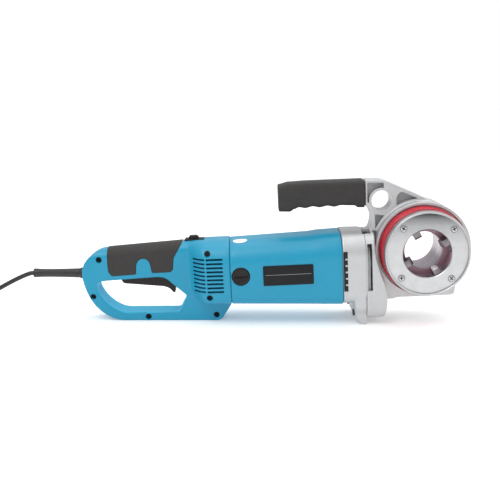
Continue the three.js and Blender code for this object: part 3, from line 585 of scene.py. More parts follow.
def add_plug_moulding():
    """A flat two-pin plug: a ribbed, tapering boot, a waist and a flat oval face."""
    stations = [
        (46, 3.9, 3.9), (50, 4.1, 4.1), (52, 4.8, 4.8), (54, 4.3, 4.3), (57, 4.4, 4.4), (59, 5.2, 5.2),
        (61, 4.6, 4.6), (64, 4.8, 4.8), (66, 5.7, 5.7), (68, 5.1, 5.1), (71, 6.0, 6.0), (75, 8.6, 7.6),
        (80, 10.4, 8.6), (86, 9.4, 7.6), (92, 9.2, 7.4), (97, 10.3, 8.6), (100, 10.6, 9.0),
        (104, 10.6, 9.0), (105, 10.0, 8.4),
    ]
    oval = squarish(40, 0.8)
    rings = []
    for x, half_y, half_z in stations:
        rings.append([Vector((COIL_X + x, PLUG_Y + half_y * y, PLUG_Z + half_z * z)) for y, z in oval])
    plug = applied(skin(rings), "SUBSURF", levels=1, render_levels=1)
    return place(plug, "plug_moulding", "cord", "power_plug", matrix=FLOOR, sharp=50)


def add_plug_pins():
    pins = []
    for label, sign in (("a", -1), ("b", 1)):
        centre = (COIL_X, PLUG_Y + sign * 6.5, PLUG_Z)
        sleeve = turned_solid([(0, 103), (2.3, 103), (2.3, 112), (2.1, 112.4), (0, 112.4)], centre, "X", 24)
        place(sleeve, f"plug_pin_sleeve_{label}", "black", matrix=FLOOR)
        profile = [(0, 112), (2.0, 112), (2.0, 121.5), (1.6, 123.2), (0.8, 124), (0, 124)]
        pin = turned_solid(profile, centre, "X", 24)
        place(pin, f"plug_pin_{label}", "pin", matrix=FLOOR)
        pins += [sleeve, pin]
    return pins


def add_cord_tie():
    """A flat tie strapped round the turns on the coil's far side."""
    inner = COIL_INNER - CORD_RADIUS - 0.6
    outer = COIL_INNER + 2 * CORD_RADIUS * TURNS_IN - 1.4
    low, high = 0.02, 4 * CORD_RADIUS + 0.3
    loop = rounded([(inner, low, 2.2), (outer, low, 2.2), (outer, high, 2.2), (inner, high, 2.2)], steps=4)
    hole = [
        (inner + 0.5, low + 0.4, 2), (outer - 0.5, low + 0.4, 2), (outer - 0.5, high - 0.5, 2),
        (inner + 0.5, high - 0.5, 2),
    ]
    inside = rounded(hole, steps=4)
    direction = math.radians(160)
    along = Vector((math.cos(direction), math.sin(direction), 0))
    across = Vector((-along.y, along.x, 0))
    centre = Vector((COIL_X, COIL_Y, 0))

    def corner(reach, side, height):
        return centre + along * reach + across * side + Vector((0, 0, height))

    rings = []
    for (r0, z0), (r1, z1) in zip(loop, inside):
        rings.append([corner(r0, 3, z0), corner(r0, -3, z0), corner(r1, -3, z1), corner(r1, 3, z1)])
    tie = skin(rings, closed=True)
    return place(tie, "cord_tie", "black", matrix=FLOOR)


def add_strain_relief():
    """A tapering rubber sleeve with shallow lengthwise flutes and a flared mouth."""
    stations = [
        (6.6, -236, 0), (6.6, -241.9, 0), (4.9, -241.9, 0), (4.9, -251, 0), (6.9, -251.4, 0),
        (7.3, -252.2, 0), (7.3, -254.2, 0), (6.9, -255.2, 0), (6.3, -256.2, 0), (6.2, -259, 0),
        (6.05, -263, 0.35), (5.8, -270, 0.4), (5.55, -280, 0.4), (5.4, -290, 0.4), (5.35, -300, 0.4),
        (5.4, -306, 0.35), (5.6, -310, 0.2), (5.85, -313, 0), (6.0, -315.4, 0), (5.9, -316.3, 0),
        (5.5, -316.7, 0), (3.6, -316.7, 0), (3.4, -316.3, 0), (3.4, -315, 0),
    ]
    rings = []
    for radius, x, flute in stations:
        ring = []
        for k in range(80):
            angle = 2 * math.pi * k / 80
            r = radius - flute * (0.5 - 0.5 * math.cos(10 * angle))
            ring.append(Vector((x, r * math.cos(angle), CORD_Z + r * math.sin(angle))))
        rings.append(ring)
    place(skin(rings), "cord_strain_relief", "cord", "strain_relief", matrix=FLOOR, sharp=35)


# ---------- rear handle ----------
HANDLE_HALF = 17.2
HANDLE_OUTLINE = [
    (-142.3, 41.2, 0), (-176, 41.1), (-202.7, 40.4), (-300, 36), (-309.5, 34.4), (-318.4, 30.6),
    (-326.6, 24.8), (-332.4, 17.4), (-335.3, 9.4), (-335.9, 2), (-334.6, -8), (-331.8, -18), (-328, -28.2),
    (-322.9, -37.2), (-314, -47.2), (-304.3, -54.1), (-296, -58), (-287, floor_at(-287)),
    (-162.4, floor_at(-162.4), 5), (-156.5, -63.5, 5), (-144.2, -45.3, 3), (-142.3, -41, 0),
]
HANDLE_HOLE = [
    (-310.6, -6.4, 6), (-284.2, -5.4), (-239, -4), (-227.9, -5.2), (-219.7, -13.3), (-200.8, -31, 1.5),
    (-212.8, -51.9, 2), (-280.1, -49.3), (-288.8, -47.7), (-300.8, -40.5), (-310, -31), (-315.5, -21.7),
    (-318, -13.9), (-316.4, -8.7, 4),
]
PAD_OUTLINE = [
    (-300.5, 60, 0), (-193.5, 60, 0), (-202.5, 41.6, 3), (-215.6, 20.7, 4), (-217.3, 5.6, 3),
    (-220.6, 2.5, 3), (-244.3, 2.3, 1.5), (-245.5, 10.6), (-246.9, 17), (-250, 20.6), (-254, 21.9),
    (-258, 21.4), (-261.7, 19.1), (-264.5, 14.2), (-265.5, 1.5, 1.5), (-296.6, 0.4, 4), (-300.5, 5.6, 4),
    (-301, 14.6, 4),
]
VENT_ROWS, VENT_TOP, VENT_PITCH = 9, 19.9, 5.2
PARTING_GAP = 0.12
# (x, z, half the handle's width there)
SCREWS = [
    (-312.1, 22.4, HANDLE_HALF), (-323.1, -26.2, HANDLE_HALF), (-253, -56.1, HANDLE_HALF),
    (-163.9, -57.6, HANDLE_HALF), (-170.5, 27.2, 38.4), (-170.1, -29.4, 38.4),
]


def bell_stations():
    """The handle's shells widen from the grip into the motor housing's section."""
    stations = []
    steps = 16
    for k in range(steps + 1):
        x = -202 + 28 * k / steps
        t = k / steps
        ease = t * t * (3 - 2 * t)
        half = 14.5 + 24.5 * ease
        top = 36 + 5 * min(1, 2 * t)
        low = -22 - 18 * ease
        stations.append((x, half, top, low, 8 + 20 * ease, 6 + 8 * ease))
    stations.append((-142.3, 41, 40.9, -40.5, 30, 14))
    return stations


def grown(obj, distance):
    """The object with its skin moved outward."""
    obj.data.update()
    normals = [v.normal.copy() for v in obj.data.vertices]
    for vertex, normal in zip(obj.data.vertices, normals):
        vertex.co += normal * distance
    return obj


def painted_light_in_loop(spot, normal):
    """Whether a face looks into the hand opening from below or behind: these faces get a lighter blue,
    painted light from overhead.
    """
    faces_hand = normal.z > 0.15 or normal.x > 0.3
    return -326 < spot.x < -200 and -52 < spot.z < -2 and abs(normal.y) < 0.5 and faces_hand


def half_of(obj, sign):
    """A copy of what the object holds on one side of the machine's middle, with the cut face closed."""
    half = copy_of(obj)
    with editing(half.data) as work:
        everything = work.verts[:] + work.edges[:] + work.faces[:]
        cutting = bmesh.ops.bisect_plane(
            work, geom=everything, plane_co=(0, sign * PARTING_GAP, 0), plane_no=(0, -sign, 0),
            clear_outer=True, dist=1e-5,
        )
        edges = [e for e in cutting["geom_cut"] if isinstance(e, bmesh.types.BMEdge)]
        bmesh.ops.triangle_fill(work, edges=edges, use_beauty=True)
        bmesh.ops.recalc_face_normals(work, faces=work.faces)
    return half


def add_handle():
    loop = prism(rounded(HANDLE_OUTLINE), -HANDLE_HALF, HANDLE_HALF)
    bar = [(-345, 34), (-300, 36), (-202.7, 40.4), (-176, 41.2), (-142.2, 41.4)]
    cut(loop, housing([(x, HANDLE_HALF, top, -95, 13, 5) for x, top in bar]), operation="INTERSECT")
    cut(loop, prism(rounded(HANDLE_HOLE), -30, 30))
    body = moulded(joined([loop, housing(bell_stations())]), 1.25, 8)

    pad = grown(copy_of(body), 0.35)
    cut(pad, prism(rounded(PAD_OUTLINE), -25, 25), operation="INTERSECT")
    groove = grown(copy_of(body), -1.3)
    around = prism(rounded(PAD_OUTLINE), -30, 30)
    grown(around, 0.55)
    cut(around, groove)
    cut(body, around)

    tools = []
    for row in range(VENT_ROWS):
        z = VENT_TOP - row * VENT_PITCH
        for y0, y1 in both_sides(27, 46):
            tools.append(block(-172.5, -151.5, y0, y1, z - 1.3, z + 1.3))
        for y0, y1 in both_sides(16, 46):
            tools.append(block(-190, -174.6, y0, y1, z - 0.9, z + 1.5))
    cut(body, *tools)
    recesses = [rod(4, -half - 6, -half + 8, (x, 0, z), "Y", 32) for x, z, half in SCREWS]
    trigger_room = block(-289, -208, -8.7, 8.7, -28, 9)
    cut(pad, copy_of(trigger_room))
    cut(body, *recesses, trigger_room)
    for label, sign in SIDES:
        shell = place(half_of(body, sign), f"handle_half_{label}", "blue", f"handle_shell_{label}", sharp=40)
        # The faces inside the hand opening get the lighter blue: painted light.
        repaint(shell, "blue_painted_light", MACHINE, painted_light_in_loop)
        place(half_of(pad, sign), f"soft_pad_{label}", "rubber", f"grip_pad_{label}", sharp=40)
    drop(body)
    drop(pad)


def add_controls():
    lever = [
        (-286.5, -8, 1), (-284, -11.8, 2), (-281.5, -12.6, 2), (-230.5, -18.9, 14), (-224.4, -21.7, 8),
        (-219.6, -27.1, 3), (-217.2, -28.6, 0.8), (-215.6, -16.9, 12), (-220, -9, 10), (-226, -3, 4),
        (-236, -1.2, 4), (-276, -1.2, 3), (-284, -2.5, 3), (-286.5, -5, 1),
    ]
    trigger = moulded(prism(rounded(lever), -7.8, 7.8), 0.6, 8)
    place(trigger, "trigger", "trigger", "trigger_lever", "trigger", sharp=0)
    base = rounded([(-201, 38.7, 0), (-174.8, 38.7, 0), (-175.4, 42.2, 1.2), (-200.4, 42.8, 1.2)])
    place(bevelled(prism(base, -7, 7), 0.7), "switch_base", "black", "reverser_base")
    knob = [(-195.3, 43.1, 0), (-182.3, 42.7, 0), (-182.9, 44.5, 1), (-184.6, 45.9, 1), (-186.6, 46.4, 1)]
    for i in range(3):
        x = -187.4 - 2.2 * i
        knob += [(x, 46.4, 0.3), (x - 0.4, 45.8, 0.3), (x - 0.9, 45.8, 0.3), (x - 1.3, 46.45, 0.3)]
    knob += [(-194.2, 46.1, 1), (-195.1, 44.7, 1)]
    knob = bevelled(prism(rounded(knob, steps=3), -5, 5), 0.5, 2)
    place(knob, "switch_knob", "black", "reverser_knob", "direction_knob")


# ---------- motor housing ----------
BRUSH_X, BRUSH_Z, BRUSH_R = -129.2, -2.6, 11.4


def barrel_section(x):
    """The motor housing's section at x: it widens forward, with a small step up near its front."""
    t = (x + 142) / 142
    step = 1.1 * min(1, max(0, (x + 40) / 12))
    return (x, 41 + step * 0.6, 39.8 + 4.1 * t + step, -40.5 - 6.9 * t, 30, 14)


def add_motor_housing():
    xs = [-142, -141.6, -141] + [-141 + 141 * k / 24 for k in range(1, 24)] + [-1.6, -0.6, 0]
    stations = []
    for i, x in enumerate(xs):
        inset = {0: 0.9, 1: 0.3}.get(i, {len(xs) - 1: 1.4, len(xs) - 2: 0.5}.get(i, 0.0))
        x, half, top, low, top_radius, low_radius = barrel_section(x)
        stations.append((x, half - inset, top - inset, low + inset, top_radius - inset, low_radius - inset))
    barrel = housing(stations, steps=16)
    ends = ((-1, stations[2]), (1, stations[-3]))
    inner = housing(
        [(x + d, h - 3, t - 3, lo + 3, tr - 3, lr - 3) for d, (x, h, t, lo, tr, lr) in ends], steps=16,
    )
    centre = (BRUSH_X, 0, BRUSH_Z)
    holes = [rod(BRUSH_R + 0.5, y0, y1, centre, "Y", 64) for y0, y1 in both_sides(30, 60)]
    cut(barrel, inner)
    cut(barrel, *holes)
    place(barrel, "motor_barrel", "blue", "motor_housing", sharp=28)
    out = [
        (0, 35.5), (BRUSH_R, 35.5), (BRUSH_R, 40.6), (BRUSH_R - 0.5, 41.3), (BRUSH_R - 1.2, 41.6),
        (BRUSH_R - 2.0, 41.6), (BRUSH_R - 2.5, 41.1), (0, 41.1),
    ]
    for label, sign in SIDES:
        cap = turned_solid([(r, sign * d) for r, d in out], centre, "Y", 72)
        y0, y1 = sorted((sign * 39.3, sign * 43))
        slot = block(BRUSH_X - 8.2, BRUSH_X + 8.2, y0, y1, BRUSH_Z - 1.3, BRUSH_Z + 1.3)
        cut(cap, slot)
        place(bevelled(cap, 0.2, 2, 40), f"brush_cover_{label}", "black", f"brush_cap_{label}")


def add_name_plate():
    """A blank rating plate with one printed rule."""
    x0, x1, z0, z1 = -100.9, -37.2, -16, 9.6
    plate = prism(rounded([(x0, z0, 1.5), (x1, z0, 1.5), (x1, z1, 1.5), (x0, z1, 1.5)]), -41.75, -41.02)
    place(bevelled(plate, 0.15, 2), "rating_plate", "label", "name_plate")
    rule = block(x0 + 3, x1 - 3, -41.84, -41.7, -2.6, -2.25)
    place(rule, "rating_plate_rule", "label_line")


def add_top_sticker():
    """A blank oval sticker that follows the motor housing's rounded shoulder."""
    centre_x, half_x, half_angle = -128.5, 9.4, math.radians(12)
    verts, faces = [], []
    rings, count = 5, 48
    for ring in range(rings + 1):
        for k in range(count):
            phi = 2 * math.pi * k / count
            x = centre_x + half_x * ring / rings * math.cos(phi)
            _, half, top, _, radius, _ = barrel_section(x)
            angle = math.radians(103) + half_angle * ring / rings * math.sin(phi)
            out = radius + 0.12
            y = -(half - radius) + out * math.cos(angle)
            z = top - radius + out * math.sin(angle)
            verts.append((x, y, z))
    for ring in range(rings):
        for k in range(count):
            a, b = ring * count + k, ring * count + (k + 1) % count
            faces.append((a, b, b + count, a + count))
    sticker = applied(draft(verts, faces), "SOLIDIFY", thickness=0.12, offset=1)
    place(sticker, "top_sticker", "sticker", sharp=0)


# ---------- gear case ----------
WORM_Y, WORM_Z = 7.4, -31.0
SCREW_Y, SCREW_Z = 28.0, -59.5
TOP_SLOTS = both_sides(8, 25)
GRILLE_RIBS = [-20.1 + 8.3 * i for i in range(5)]


def add_gear_cover():
    upper = housing([
        (0.4, 40.6, 46.1, -45.9, 29.5, 13.5), (1.2, 41, 46.4, -46.2, 30, 14), (30, 41, 45.8, -46.2, 30, 14),
    ])
    lower = housing([
        (12.5, 36, -12, -50, 6, 16), (15, 39.5, -12, -66, 6, 20), (30, 39.5, -12, -68.2, 6, 20),
    ])
    lug = [
        (14.5, -48, 0), (15, -62, 6), (19.3, -69, 4), (20.8, floor_at(20.8), 0.5),
        (28.6, floor_at(28.6), 0.5), (29.4, -69.3, 2), (30, -66, 0), (30, -48, 0),
    ]
    lugs = [prism(rounded(lug), y0, y1) for y0, y1 in both_sides(21, 35)]
    body = moulded(joined([upper, lower, *lugs]), 0.85, 3)
    sides = both_sides(38, 40.4)
    ribs = [block(3.5, 6.6, y0, y1, z - 1.05, z + 1.05) for z in GRILLE_RIBS for y0, y1 in sides]
    hollow = straight(6.8, 31, 37, 42.2, -42, 26, 10)
    low_hollow = housing([(17.5, 35.8, -12, -63.5, 4, 17), (31, 35.8, -12, -63.8, 4, 17)])
    cut(body, hollow)
    cut(body, low_hollow)
    windows = [block(1.0, 6.4, y0, y1, -28.4, 23) for y0, y1 in both_sides(36, 50)]
    windows += [block(27, 31, y0, y1, 34, 60) for y0, y1 in TOP_SLOTS]
    holes = [rod(4.9, 2, 17, (0, sign * SCREW_Y, SCREW_Z), "X", 32) for sign in (-1, 1)]
    joint = block(29.95, 31, -60, 60, -90, 60)
    cut(body, *windows)
    cut(body, *holes, joint, rod(8.5, 0, 12, (0, 0, 0), "X", 48))
    body = joined([body, *ribs])
    place(body, "gear_cover_casting", "cast", "gear_cover", sharp=45)
    for (label, sign), (y0, y1) in zip(SIDES, both_sides(36.3, 40.7)):
        grille = block(1.2, 6.2, y0, y1, -28.2, 22.8)
        c0, c1 = sorted((sign * 37.7, sign * 41.7))
        cells = [block(3.2, 7, c0, c1, z - 1.35, z + 1.35) for z in GRILLE_RIBS]
        cut(grille, *cells)
        place(bevelled(grille, 0.3, 2), f"air_outlet_{label}", "black", f"outlet_grille_{label}")


# ---------- head casting ----------
RING_OUTER, RING_OPEN = 61.5, 57.2
ARM_HALF, ARM_WEB = 13.0, 5.0
SUPPORT_X, SUPPORT_Z, SUPPORT_R, SUPPORT_BOSS = 54.6, 82.2, 12.8, 16.2
CASE_SIDE = [
    (28, 45.6, 0), (36, 45.3, 4), (40, 44.3, 3), (42.3, 42.6, 3), (41.4, 28), (42.3, 13.5), (47.6, -5.8),
    (53.4, -22.2), (55.6, -33), (56, -45), (54.3, -58, 6), (52.2, -67.2, 2), (28, -68.2, 0),
]
CASE_HOLLOW = [
    (28, 42.2, 0), (36, 42.2, 2), (38.2, 28), (38.8, 13.5), (43.4, -6), (48.4, -22), (48.9, -45),
    (47.4, -60, 3), (46, -63.6, 2), (28, -63.6, 0),
]
ARM_OUTLINE = [
    (33.7, 76.5, 0), (33.7, 108.4, 1), (35, 109.4, 1), (55.6, 108.3, 10), (63, 105.6, 20), (100.9, 87.5),
    (121.7, 76.6, 0), (121, 40, 0), (60, 40, 0), (37.4, 44, 2), (38.8, 47.6), (40.6, 53), (41.6, 59.3),
    (40.9, 65), (39.2, 69.8), (36.4, 74, 2),
]
FOOT_OUTLINE = [
    (148.3, -20, 0), (146.9, -28.9), (144.6, -41.5, 2), (141.5, -43.3, 2), (70.4, -43.3, 3),
    (66.2, -44.8, 3), (54, -44.8, 0), (48, -7, 0),
]
POCKETS = [
    [(36.3, 80.4, 2), (36.3, 105.9, 2), (57.5, 104.8, 2), (57.5, 92, 2), (46, 78, 2)],
    [(73.2, 70, 2), (73.6, 86, 8), (77, 91.2, 8), (81.5, 92, 6), (104, 81.2, 2), (106, 70, 2)],
    [(45.4, 64.8, 1.5), (57.5, 63, 2), (57.5, 50, 2), (46, 46, 1.5)],
]


def add_head_casting():
    centre = (HEAD_X, 0, HEAD_Z)
    case = prism(rounded(CASE_SIDE), -42, 42)
    cut(case, straight(27, 64, 41, 45.8, -68.4, 30, 18), operation="INTERSECT")
    drum = rod(RING_OUTER, -25, 34, centre, "Y", 120)
    foot = prism(rounded(FOOT_OUTLINE), -25, 34)
    arm_plate = prism(rounded(ARM_OUTLINE), -ARM_HALF, ARM_HALF)
    body = moulded(joined([case, drum, foot, arm_plate]), 0.95, 5)

    boss = rod(SUPPORT_BOSS, -30, 30, (SUPPORT_X, 0, SUPPORT_Z), "Y", 64)
    rim = rod(RING_OUTER + 3.2, -30, 30, centre, "Y", 96)
    for outline in POCKETS:
        for y0, y1 in both_sides(ARM_WEB, ARM_HALF + 2):
            tool = prism(rounded(outline), y0, y1)
            cut(tool, copy_of(boss))
            cut(tool, copy_of(rim))
            cut(body, tool)
    drop(boss)
    drop(rim)
    hollow = prism(rounded(CASE_HOLLOW), -40, 40)
    cut(hollow, straight(27, 64, 36.8, 42.4, -63.8, 26, 15), operation="INTERSECT")
    cut(body, hollow)
    cut(body, block(20, 30.1, -60, 60, -90, 60))
    cut(body, rod(SUPPORT_R, -30, 30, (SUPPORT_X, 0, SUPPORT_Z), "Y", 64))
    mouth = RING_OPEN + 0.9
    recess = [(0, -30), (mouth, -30), (mouth, -25), (RING_OPEN, -24.1), (RING_OPEN, -21), (0, -21)]
    cut(body, turned_solid(recess, centre, "Y", 120))
    cut(body, rod(43.4, -23, 40, centre, "Y", 96))
    cut(body, rod(50, -3, 40, centre, "Y", 96))
    slots = [block(31.4, 37.4, y0, y1, -29, 31) for y0, y1 in both_sides(30, 50)]
    slots += [block(27, 37.8, y0, y1, 34, 60) for y0, y1 in TOP_SLOTS]
    cut(body, *slots)
    bore_tools = [rod(10, 45, 143, (0, WORM_Y, WORM_Z), "X", 40)]
    bore_tools += [rod(2.7, 25, 44, (0, sign * SCREW_Y, SCREW_Z), "X", 20) for sign in (-1, 1)]
    cut(body, *bore_tools)
    head = place(body, "head_body_casting", "cast", "head_casting", sharp=45)

    # The pocket floors get a darker grey: partly a darker paint, partly painted shade for the recesses.
    def in_pocket_paint_and_shade(spot, normal):
        in_arm = spot.x > 34.5 and spot.z > 44 and abs(spot.y) < ARM_HALF - 1.2
        return in_arm and abs(normal.y) > 0.6

    repaint(head, "pocket", MACHINE, in_pocket_paint_and_shade)


def eased(points, x):
    """The height of a wavy line through (x, z) points, level at each of them."""
    for (x0, z0), (x1, z1) in zip(points, points[1:]):
        if x <= x1:
            t = max(0.0, (x - x0) / (x1 - x0))
            return z0 + (z1 - z0) * t * t * (3 - 2 * t)
    return points[-1][1]


GRIP_TOP = [(-77, 106.6), (-75.5, 107.4), (-63, 109.9), (-40, 110.4), (31.2, 110.0), (33, 109.2)]
GRIP_LOW = [
    (-77, 73.0), (-62.5, 72.4), (-57, 75.4), (-51, 77.5), (-42.7, 76.1), (-33.3, 77.9), (-24.4, 76.2),
    (-14.4, 77.9), (-6, 76.2), (3, 77.8), (13, 77.1), (20.5, 76.6), (24.5, 73.9), (33, 73.5),
]


def add_carry_grip():
    """A hand grip of squarish section with finger hollows underneath and crisp ends."""
    length_from, length_to, edge = -77.0, 33.0, 1.4
    fine = [0.0, 0.1, 0.25, 0.5, 0.9, edge]
    inside = length_to - length_from - 2 * edge
    xs = [length_from + d for d in fine]
    xs += [length_from + edge + inside * k / 110 for k in range(1, 110)]
    xs += [length_to - d for d in reversed(fine)]
    rings = []
    for x in xs:
        end = min(x - length_from, length_to - x)
        inset = edge - math.sqrt(max(0.0, edge ** 2 - max(0.0, edge - end) ** 2))
        top = eased(GRIP_TOP, x) - inset
        low = eased(GRIP_LOW, x) + inset
        half = 16.6 - inset
        middle, rise = (top + low) / 2, (top - low) / 2
        rings.append([Vector((x, half * across, middle + rise * up)) for across, up in squarish(64, 0.42)])
    place(skin(rings), "carry_handle_grip", "rubber", "carry_grip", sharp=50)


# ---------- die head ----------
def ring_solid(profile, segments=160):
    return turned_solid(profile, (0, 0, 0), "Y", segments)


def polar(radius, degrees):
    angle = math.radians(degrees)
    return radius * math.cos(angle), radius * math.sin(angle)


COVER_SCREW_RADIUS, COVER_SCREW_START = 44.3, 42
DIE_START = 27
DIE_TEETH, THREAD_PITCH = 5, 2.31


def add_cover():
    plate = ring_solid([
        (30.6, -50.2), (31.4, -51), (50.4, -51), (50.85, -51), (50.85, -48.3), (30.6, -48.3),
    ])
    screw_spots = [polar(COVER_SCREW_RADIUS, COVER_SCREW_START + 90 * i) for i in range(4)]
    sink = [(0, -53), (4.7, -53), (4.7, -51), (2.3, -48.1), (2.3, -46), (0, -46)]
    cut(plate, *[turned_solid(sink, (x, 0, z), "Y", 40) for x, z in screw_spots])
    place(plate, "die_cover", "cover", "cover_plate", "die_head", HEAD, sharp=25)
    profile = [(0, -50.95), (3.1, -50.95), (3.7, -50.7), (3.9, -50.4), (2, -48.2), (2, -36), (0, -36)]
    for i, (x, z) in enumerate(screw_spots):
        screw = turned_solid(profile, (x, 0, z), "Y", 40)
        arms = []
        for k in range(2):
            c, s = polar(1, 20 + 37 * i + 90 * k)
            outline = []
            for along, across in ((-2.7, -0.6), (2.7, -0.6), (2.7, 0.6), (-2.7, 0.6)):
                outline.append((x + along * c - across * s, z + along * s + across * c))
            arms.append(prism(outline, -52, -49.2))
        cut(screw, *arms)
        place(
            screw, f"die_cover_screw_{i + 1}", "bright", f"cover_screw_{i + 1}", "die_head", HEAD, sharp=30,
        )

        # The cross recess gets a dark grey: painted shade in the recess.
        def in_cross_painted_shade(spot, _):
            return -50.9 < spot.y < -49 and math.hypot(spot.x - x, spot.z - z) < 2.8

        repaint(screw, "carbon", HEAD, in_cross_painted_shade)


def add_rim():
    """The steel ring that stands proud round the cover, with fine straight knurling on its outside."""
    teeth = 132
    profile = []
    for k in range(teeth):
        for offset, radius in ((0.0, 54.0), (0.34, 54.0), (0.5, 53.35), (0.84, 53.35)):
            profile.append((2 * math.pi * (k + offset) / teeth, radius))
    rings = []
    for y, inset in ((-54, 0.9), (-53.4, 0.2), (-52.6, 0.0), (-41.8, 0.0), (-41.1, 0.6)):
        rings.append([Vector(((r - inset) * math.cos(a), y, (r - inset) * math.sin(a))) for a, r in profile])
    for y, radius in ((-41.1, 50.9), (-53.5, 50.9), (-54, 51.4)):
        rings.append([Vector((radius * math.cos(a), y, radius * math.sin(a))) for a, _ in profile])
    rim = skin(rings, closed=True)
    place(rim, "die_head_knurled_ring", "steel", "die_head_rim", "die_head", HEAD, sharp=25)


CHIP_NOTCH = [(29.5, 33), (36.5, 19), (29.5, 11)]


# Faces of the carrier's front bore, which get the greyer red: painted shade.
def in_front_bore_painted_shade(spot, _):
    return math.hypot(spot.x, spot.z) < 49 and spot.y < -23


def in_notch(spot, _):
    """Whether a point of the carrier is in a chip notch rather than on a die slot's wall."""
    radius = math.hypot(spot.x, spot.z)
    degrees = (math.degrees(math.atan2(spot.z, spot.x)) - DIE_START) % 90
    across = radius * math.sin(math.radians(min(degrees, 90 - degrees)))
    return 30.8 < radius < 37 and -47.9 < spot.y < -33.3 and across > 5.2


def add_die_head_body():
    outside = [
        (30.6, -48), (50.6, -48), (50.6, -40.6), (54.4, -40.6), (55, -40.1), (55, -27.6), (55.3, -27),
        (55.8, -26.6), (56, -26), (56, -22.6), (55.4, -22), (30.0, -22), (30.0, -25.2), (24.4, -25.2),
        (24.4, -28.2), (24.8, -28.6), (30.6, -28.6),
    ]
    body = ring_solid(outside)
    octagon = 33 / math.cos(math.pi / 8)
    tube = [(29.9, -23), (octagon, -23), (octagon, 1.2), (octagon - 0.8, 2), (29.9, 2)]
    spigot = turned_solid(tube, (0, 0, 0), "Y", 8, start=math.pi / 8)
    slots, notches = [], []
    corners = [(20, -4.8), (48.8, -4.8), (48.8, 4.8), (20, 4.8)]
    for i in range(4):
        c, s = polar(1, DIE_START + 90 * i)
        slots.append(prism([(r * c - w * s, r * s + w * c) for r, w in corners], -52, -33.2))
        for side in (-1, 1):
            chip = [polar(radius, DIE_START + 90 * i + side * degrees) for radius, degrees in CHIP_NOTCH]
            notches.append(prism(chip, -52, -35))
    cut(body, *slots)
    cut(body, *notches)
    place(body, "die_head_carrier", "red", "die_head_body", "die_head", HEAD, sharp=30)
    place(spigot, "die_head_spigot", "dark_steel", body="die_head", matrix=HEAD, sharp=30)
    # The front bore of the carrier gets a greyer red: painted shade.
    repaint(body, "red_painted_shade", HEAD, in_front_bore_painted_shade)
    repaint(body, "bore", HEAD, in_notch)


def add_dies():
    """Four dies for 11 threads an inch: the teeth nearest the cover stand back to lead the pipe in."""
    outline = [(48.4, -47.6), (48.4, -33.6), (21.4, -33.6)]
    for k in range(DIE_TEETH):
        y = -34.6 - k * THREAD_PITCH
        lift = max(0, k - 2) * 0.5
        for reach, step in ((21.3, 0.15), (20.05, THREAD_PITCH / 2), (21.3, THREAD_PITCH - 0.15)):
            outline.append((reach + lift, y - step))
    outline += [(24.0, -47.6)]
    for i in range(4):
        c, s = polar(1, DIE_START + 90 * i)
        radial, across = Vector((c, 0, s)), Vector((-s, 0, c))
        rings = [[radial * r + across * w + Vector((0, y, 0)) for r, y in outline] for w in (-4.4, 4.4)]
        die = bevelled(skin(rings), 0.18, 2, 40)
        place(die, f"die_{i + 1}", "die", f"thread_die_{i + 1}", "die_head", HEAD, sharp=30)


def add_sleeve():
    profile = [
        (23.9, -23.7), (24.3, -24.5), (25.1, -24.9), (29.0, -24.9), (29.5, -24.4), (29.5, 39.4), (28.9, 40),
        (28.1, 40), (27.5, 39.4),
    ]
    place(ring_solid(profile), "pipe_guide_sleeve", "bore", "guide_sleeve", "die_head", HEAD, sharp=25)


def add_rear_cover():
    profile = [
        (39.3, 34.4), (58.6, 34.4), (59.6, 34.9), (60, 35.8), (60, 38.6), (59.2, 39.7), (58, 40),
        (44.5, 40), (43.6, 39.4), (43.2, 38.6), (40.6, 38.6), (39.9, 39.4), (39.3, 39.4),
    ]
    cover = turned_solid(profile, (0, 0, 0), "Y", 128)
    spots = [polar(51.5, 45 + 90 * i) for i in range(4)]
    cut(cover, *[rod(4.1, 37.2, 44, (x, 0, z), "Y", 32) for x, z in spots])
    place(cover, "rear_cover_plate", "cast", "rear_ring_cover", matrix=HEAD, sharp=30)
    for i, (x, z) in enumerate(spots):
        profile = [(0, 37.4), (3.5, 37.4), (3.5, 39.3), (3.1, 39.7), (0, 39.7)]
        screw = turned_solid(profile, (x, 0, z), "Y", 32)
        cut(screw, turned_solid([(0, 38.4), (1.9, 38.4), (1.9, 41), (0, 41)], (x, 0, z), "Y", 6))
        place(screw, f"rear_cover_screw_{i + 1}", "dark_steel", matrix=HEAD, sharp=30)


def finish_kept_nodes():
    """CAD nodes whose shape is right keep it, with rounded edges and a material of their own."""
    looks = {
        "bright": ["armature_shaft", "worm_shaft", "rear_bearing", "front_bearing", "worm_rear_bearing",
                   "worm_front_bearing", "worm_nose_bearing"],
        "dark_steel": ["drive_ring", "reduction_gear", "case_screw_1", "case_screw_2"],
        "pocket": ["bearing_plate"],
        "lamination": ["field_stator", "armature_core"],
        "bronze": ["front_bush", "rear_bush"],
        "copper": ["commutator"],
        "carbon": ["carbon_brush_near", "carbon_brush_far", "switch_module"],
        "black": ["cooling_fan", *[f"handle_screw_{i}" for i in range(1, 7)]],
    }
    for look, names in looks.items():
        for name in names:
            node = frame["nodes"][name]
            dress(node, look, 35)
            bevel = node.modifiers.new("edges", "BEVEL")
            bevel.width = 0.0002
            bevel.segments = 2
            bevel.limit_method = "ANGLE"
            bevel.angle_limit = math.radians(50)


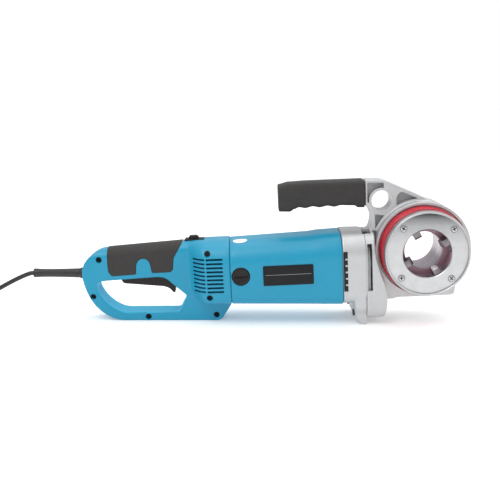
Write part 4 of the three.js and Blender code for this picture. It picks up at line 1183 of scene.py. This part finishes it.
# ---------- stage ----------
def add_stage():
    """A wide pale floor, a soft sky that is brighter overhead, and three large lamps."""
    bpy.ops.mesh.primitive_plane_add(size=60, location=(0, 0, 0))
    floor = bpy.context.object
    floor.name = "floor"
    material, tree, shader, coords = node_tree("pale_floor")
    tint = ramp(tree, noise(tree, coords, 3, 2), [(0.3, (0.9, 0.9, 0.9)), (0.7, (0.92, 0.92, 0.92))])
    tree.links.new(tint, shader.inputs["Base Color"])
    set_inputs(shader, Roughness=0.8, Emission_Color=(1, 1, 1, 1), Emission_Strength=0.22)
    floor.data.materials.append(material)

    world = bpy.data.worlds.new("studio")
    world.use_nodes = True
    tree = world.node_tree
    background = tree.nodes["Background"]
    link = tree.links.new
    coords = tree.nodes.new("ShaderNodeTexCoord")
    split = tree.nodes.new("ShaderNodeSeparateXYZ")
    link(coords.outputs["Generated"], split.inputs[0])
    sky = ramp(
        tree, split.outputs["Z"],
        [(0.0, (0.5, 0.5, 0.51)), (0.2, (0.56, 0.56, 0.57)), (0.7, (1, 1, 1)), (1.0, (1, 1, 1))],
    )
    link(sky, background.inputs["Color"])
    set_inputs(background, Strength=0.98)
    plain = tree.nodes.new("ShaderNodeBackground")
    set_inputs(plain, Color=(1, 1, 1, 1), Strength=1)
    seen = tree.nodes.new("ShaderNodeLightPath")
    mix = tree.nodes.new("ShaderNodeMixShader")
    link(seen.outputs["Is Camera Ray"], mix.inputs[0])
    link(background.outputs[0], mix.inputs[1])
    link(plain.outputs[0], mix.inputs[2])
    link(mix.outputs[0], tree.nodes["World Output"].inputs["Surface"])
    bpy.context.scene.world = world
    bpy.context.scene.view_settings.view_transform = "Standard"
    # Name, place, aim, size and watts.
    lights = [
        ("key", (-0.6, -0.9, 1.6), (0.0, 0.0, 0.08), 0.9, 10),
        ("top", (0.3, 0.3, 1.6), (0.0, 0.0, 0.08), 1.2, 8),
        ("rim", (1.3, 0.7, 0.9), (0.1, 0.0, 0.1), 0.8, 5),
    ]
    for name, spot, target, size, watts in lights:
        data = bpy.data.lights.new(name, "AREA")
        data.size = size
        data.energy = watts
        light = new_object(name, data)
        light.location = spot
        light.rotation_euler = (Vector(target) - Vector(spot)).to_track_quat("-Z", "Y").to_euler()


add_cord()
add_strain_relief()
add_handle()
add_controls()
add_motor_housing()
add_name_plate()
add_top_sticker()
add_gear_cover()
add_head_casting()
add_carry_grip()
add_cover()
add_rim()
add_die_head_body()
add_dies()
add_sleeve()
add_rear_cover()
finish_kept_nodes()
add_stage()
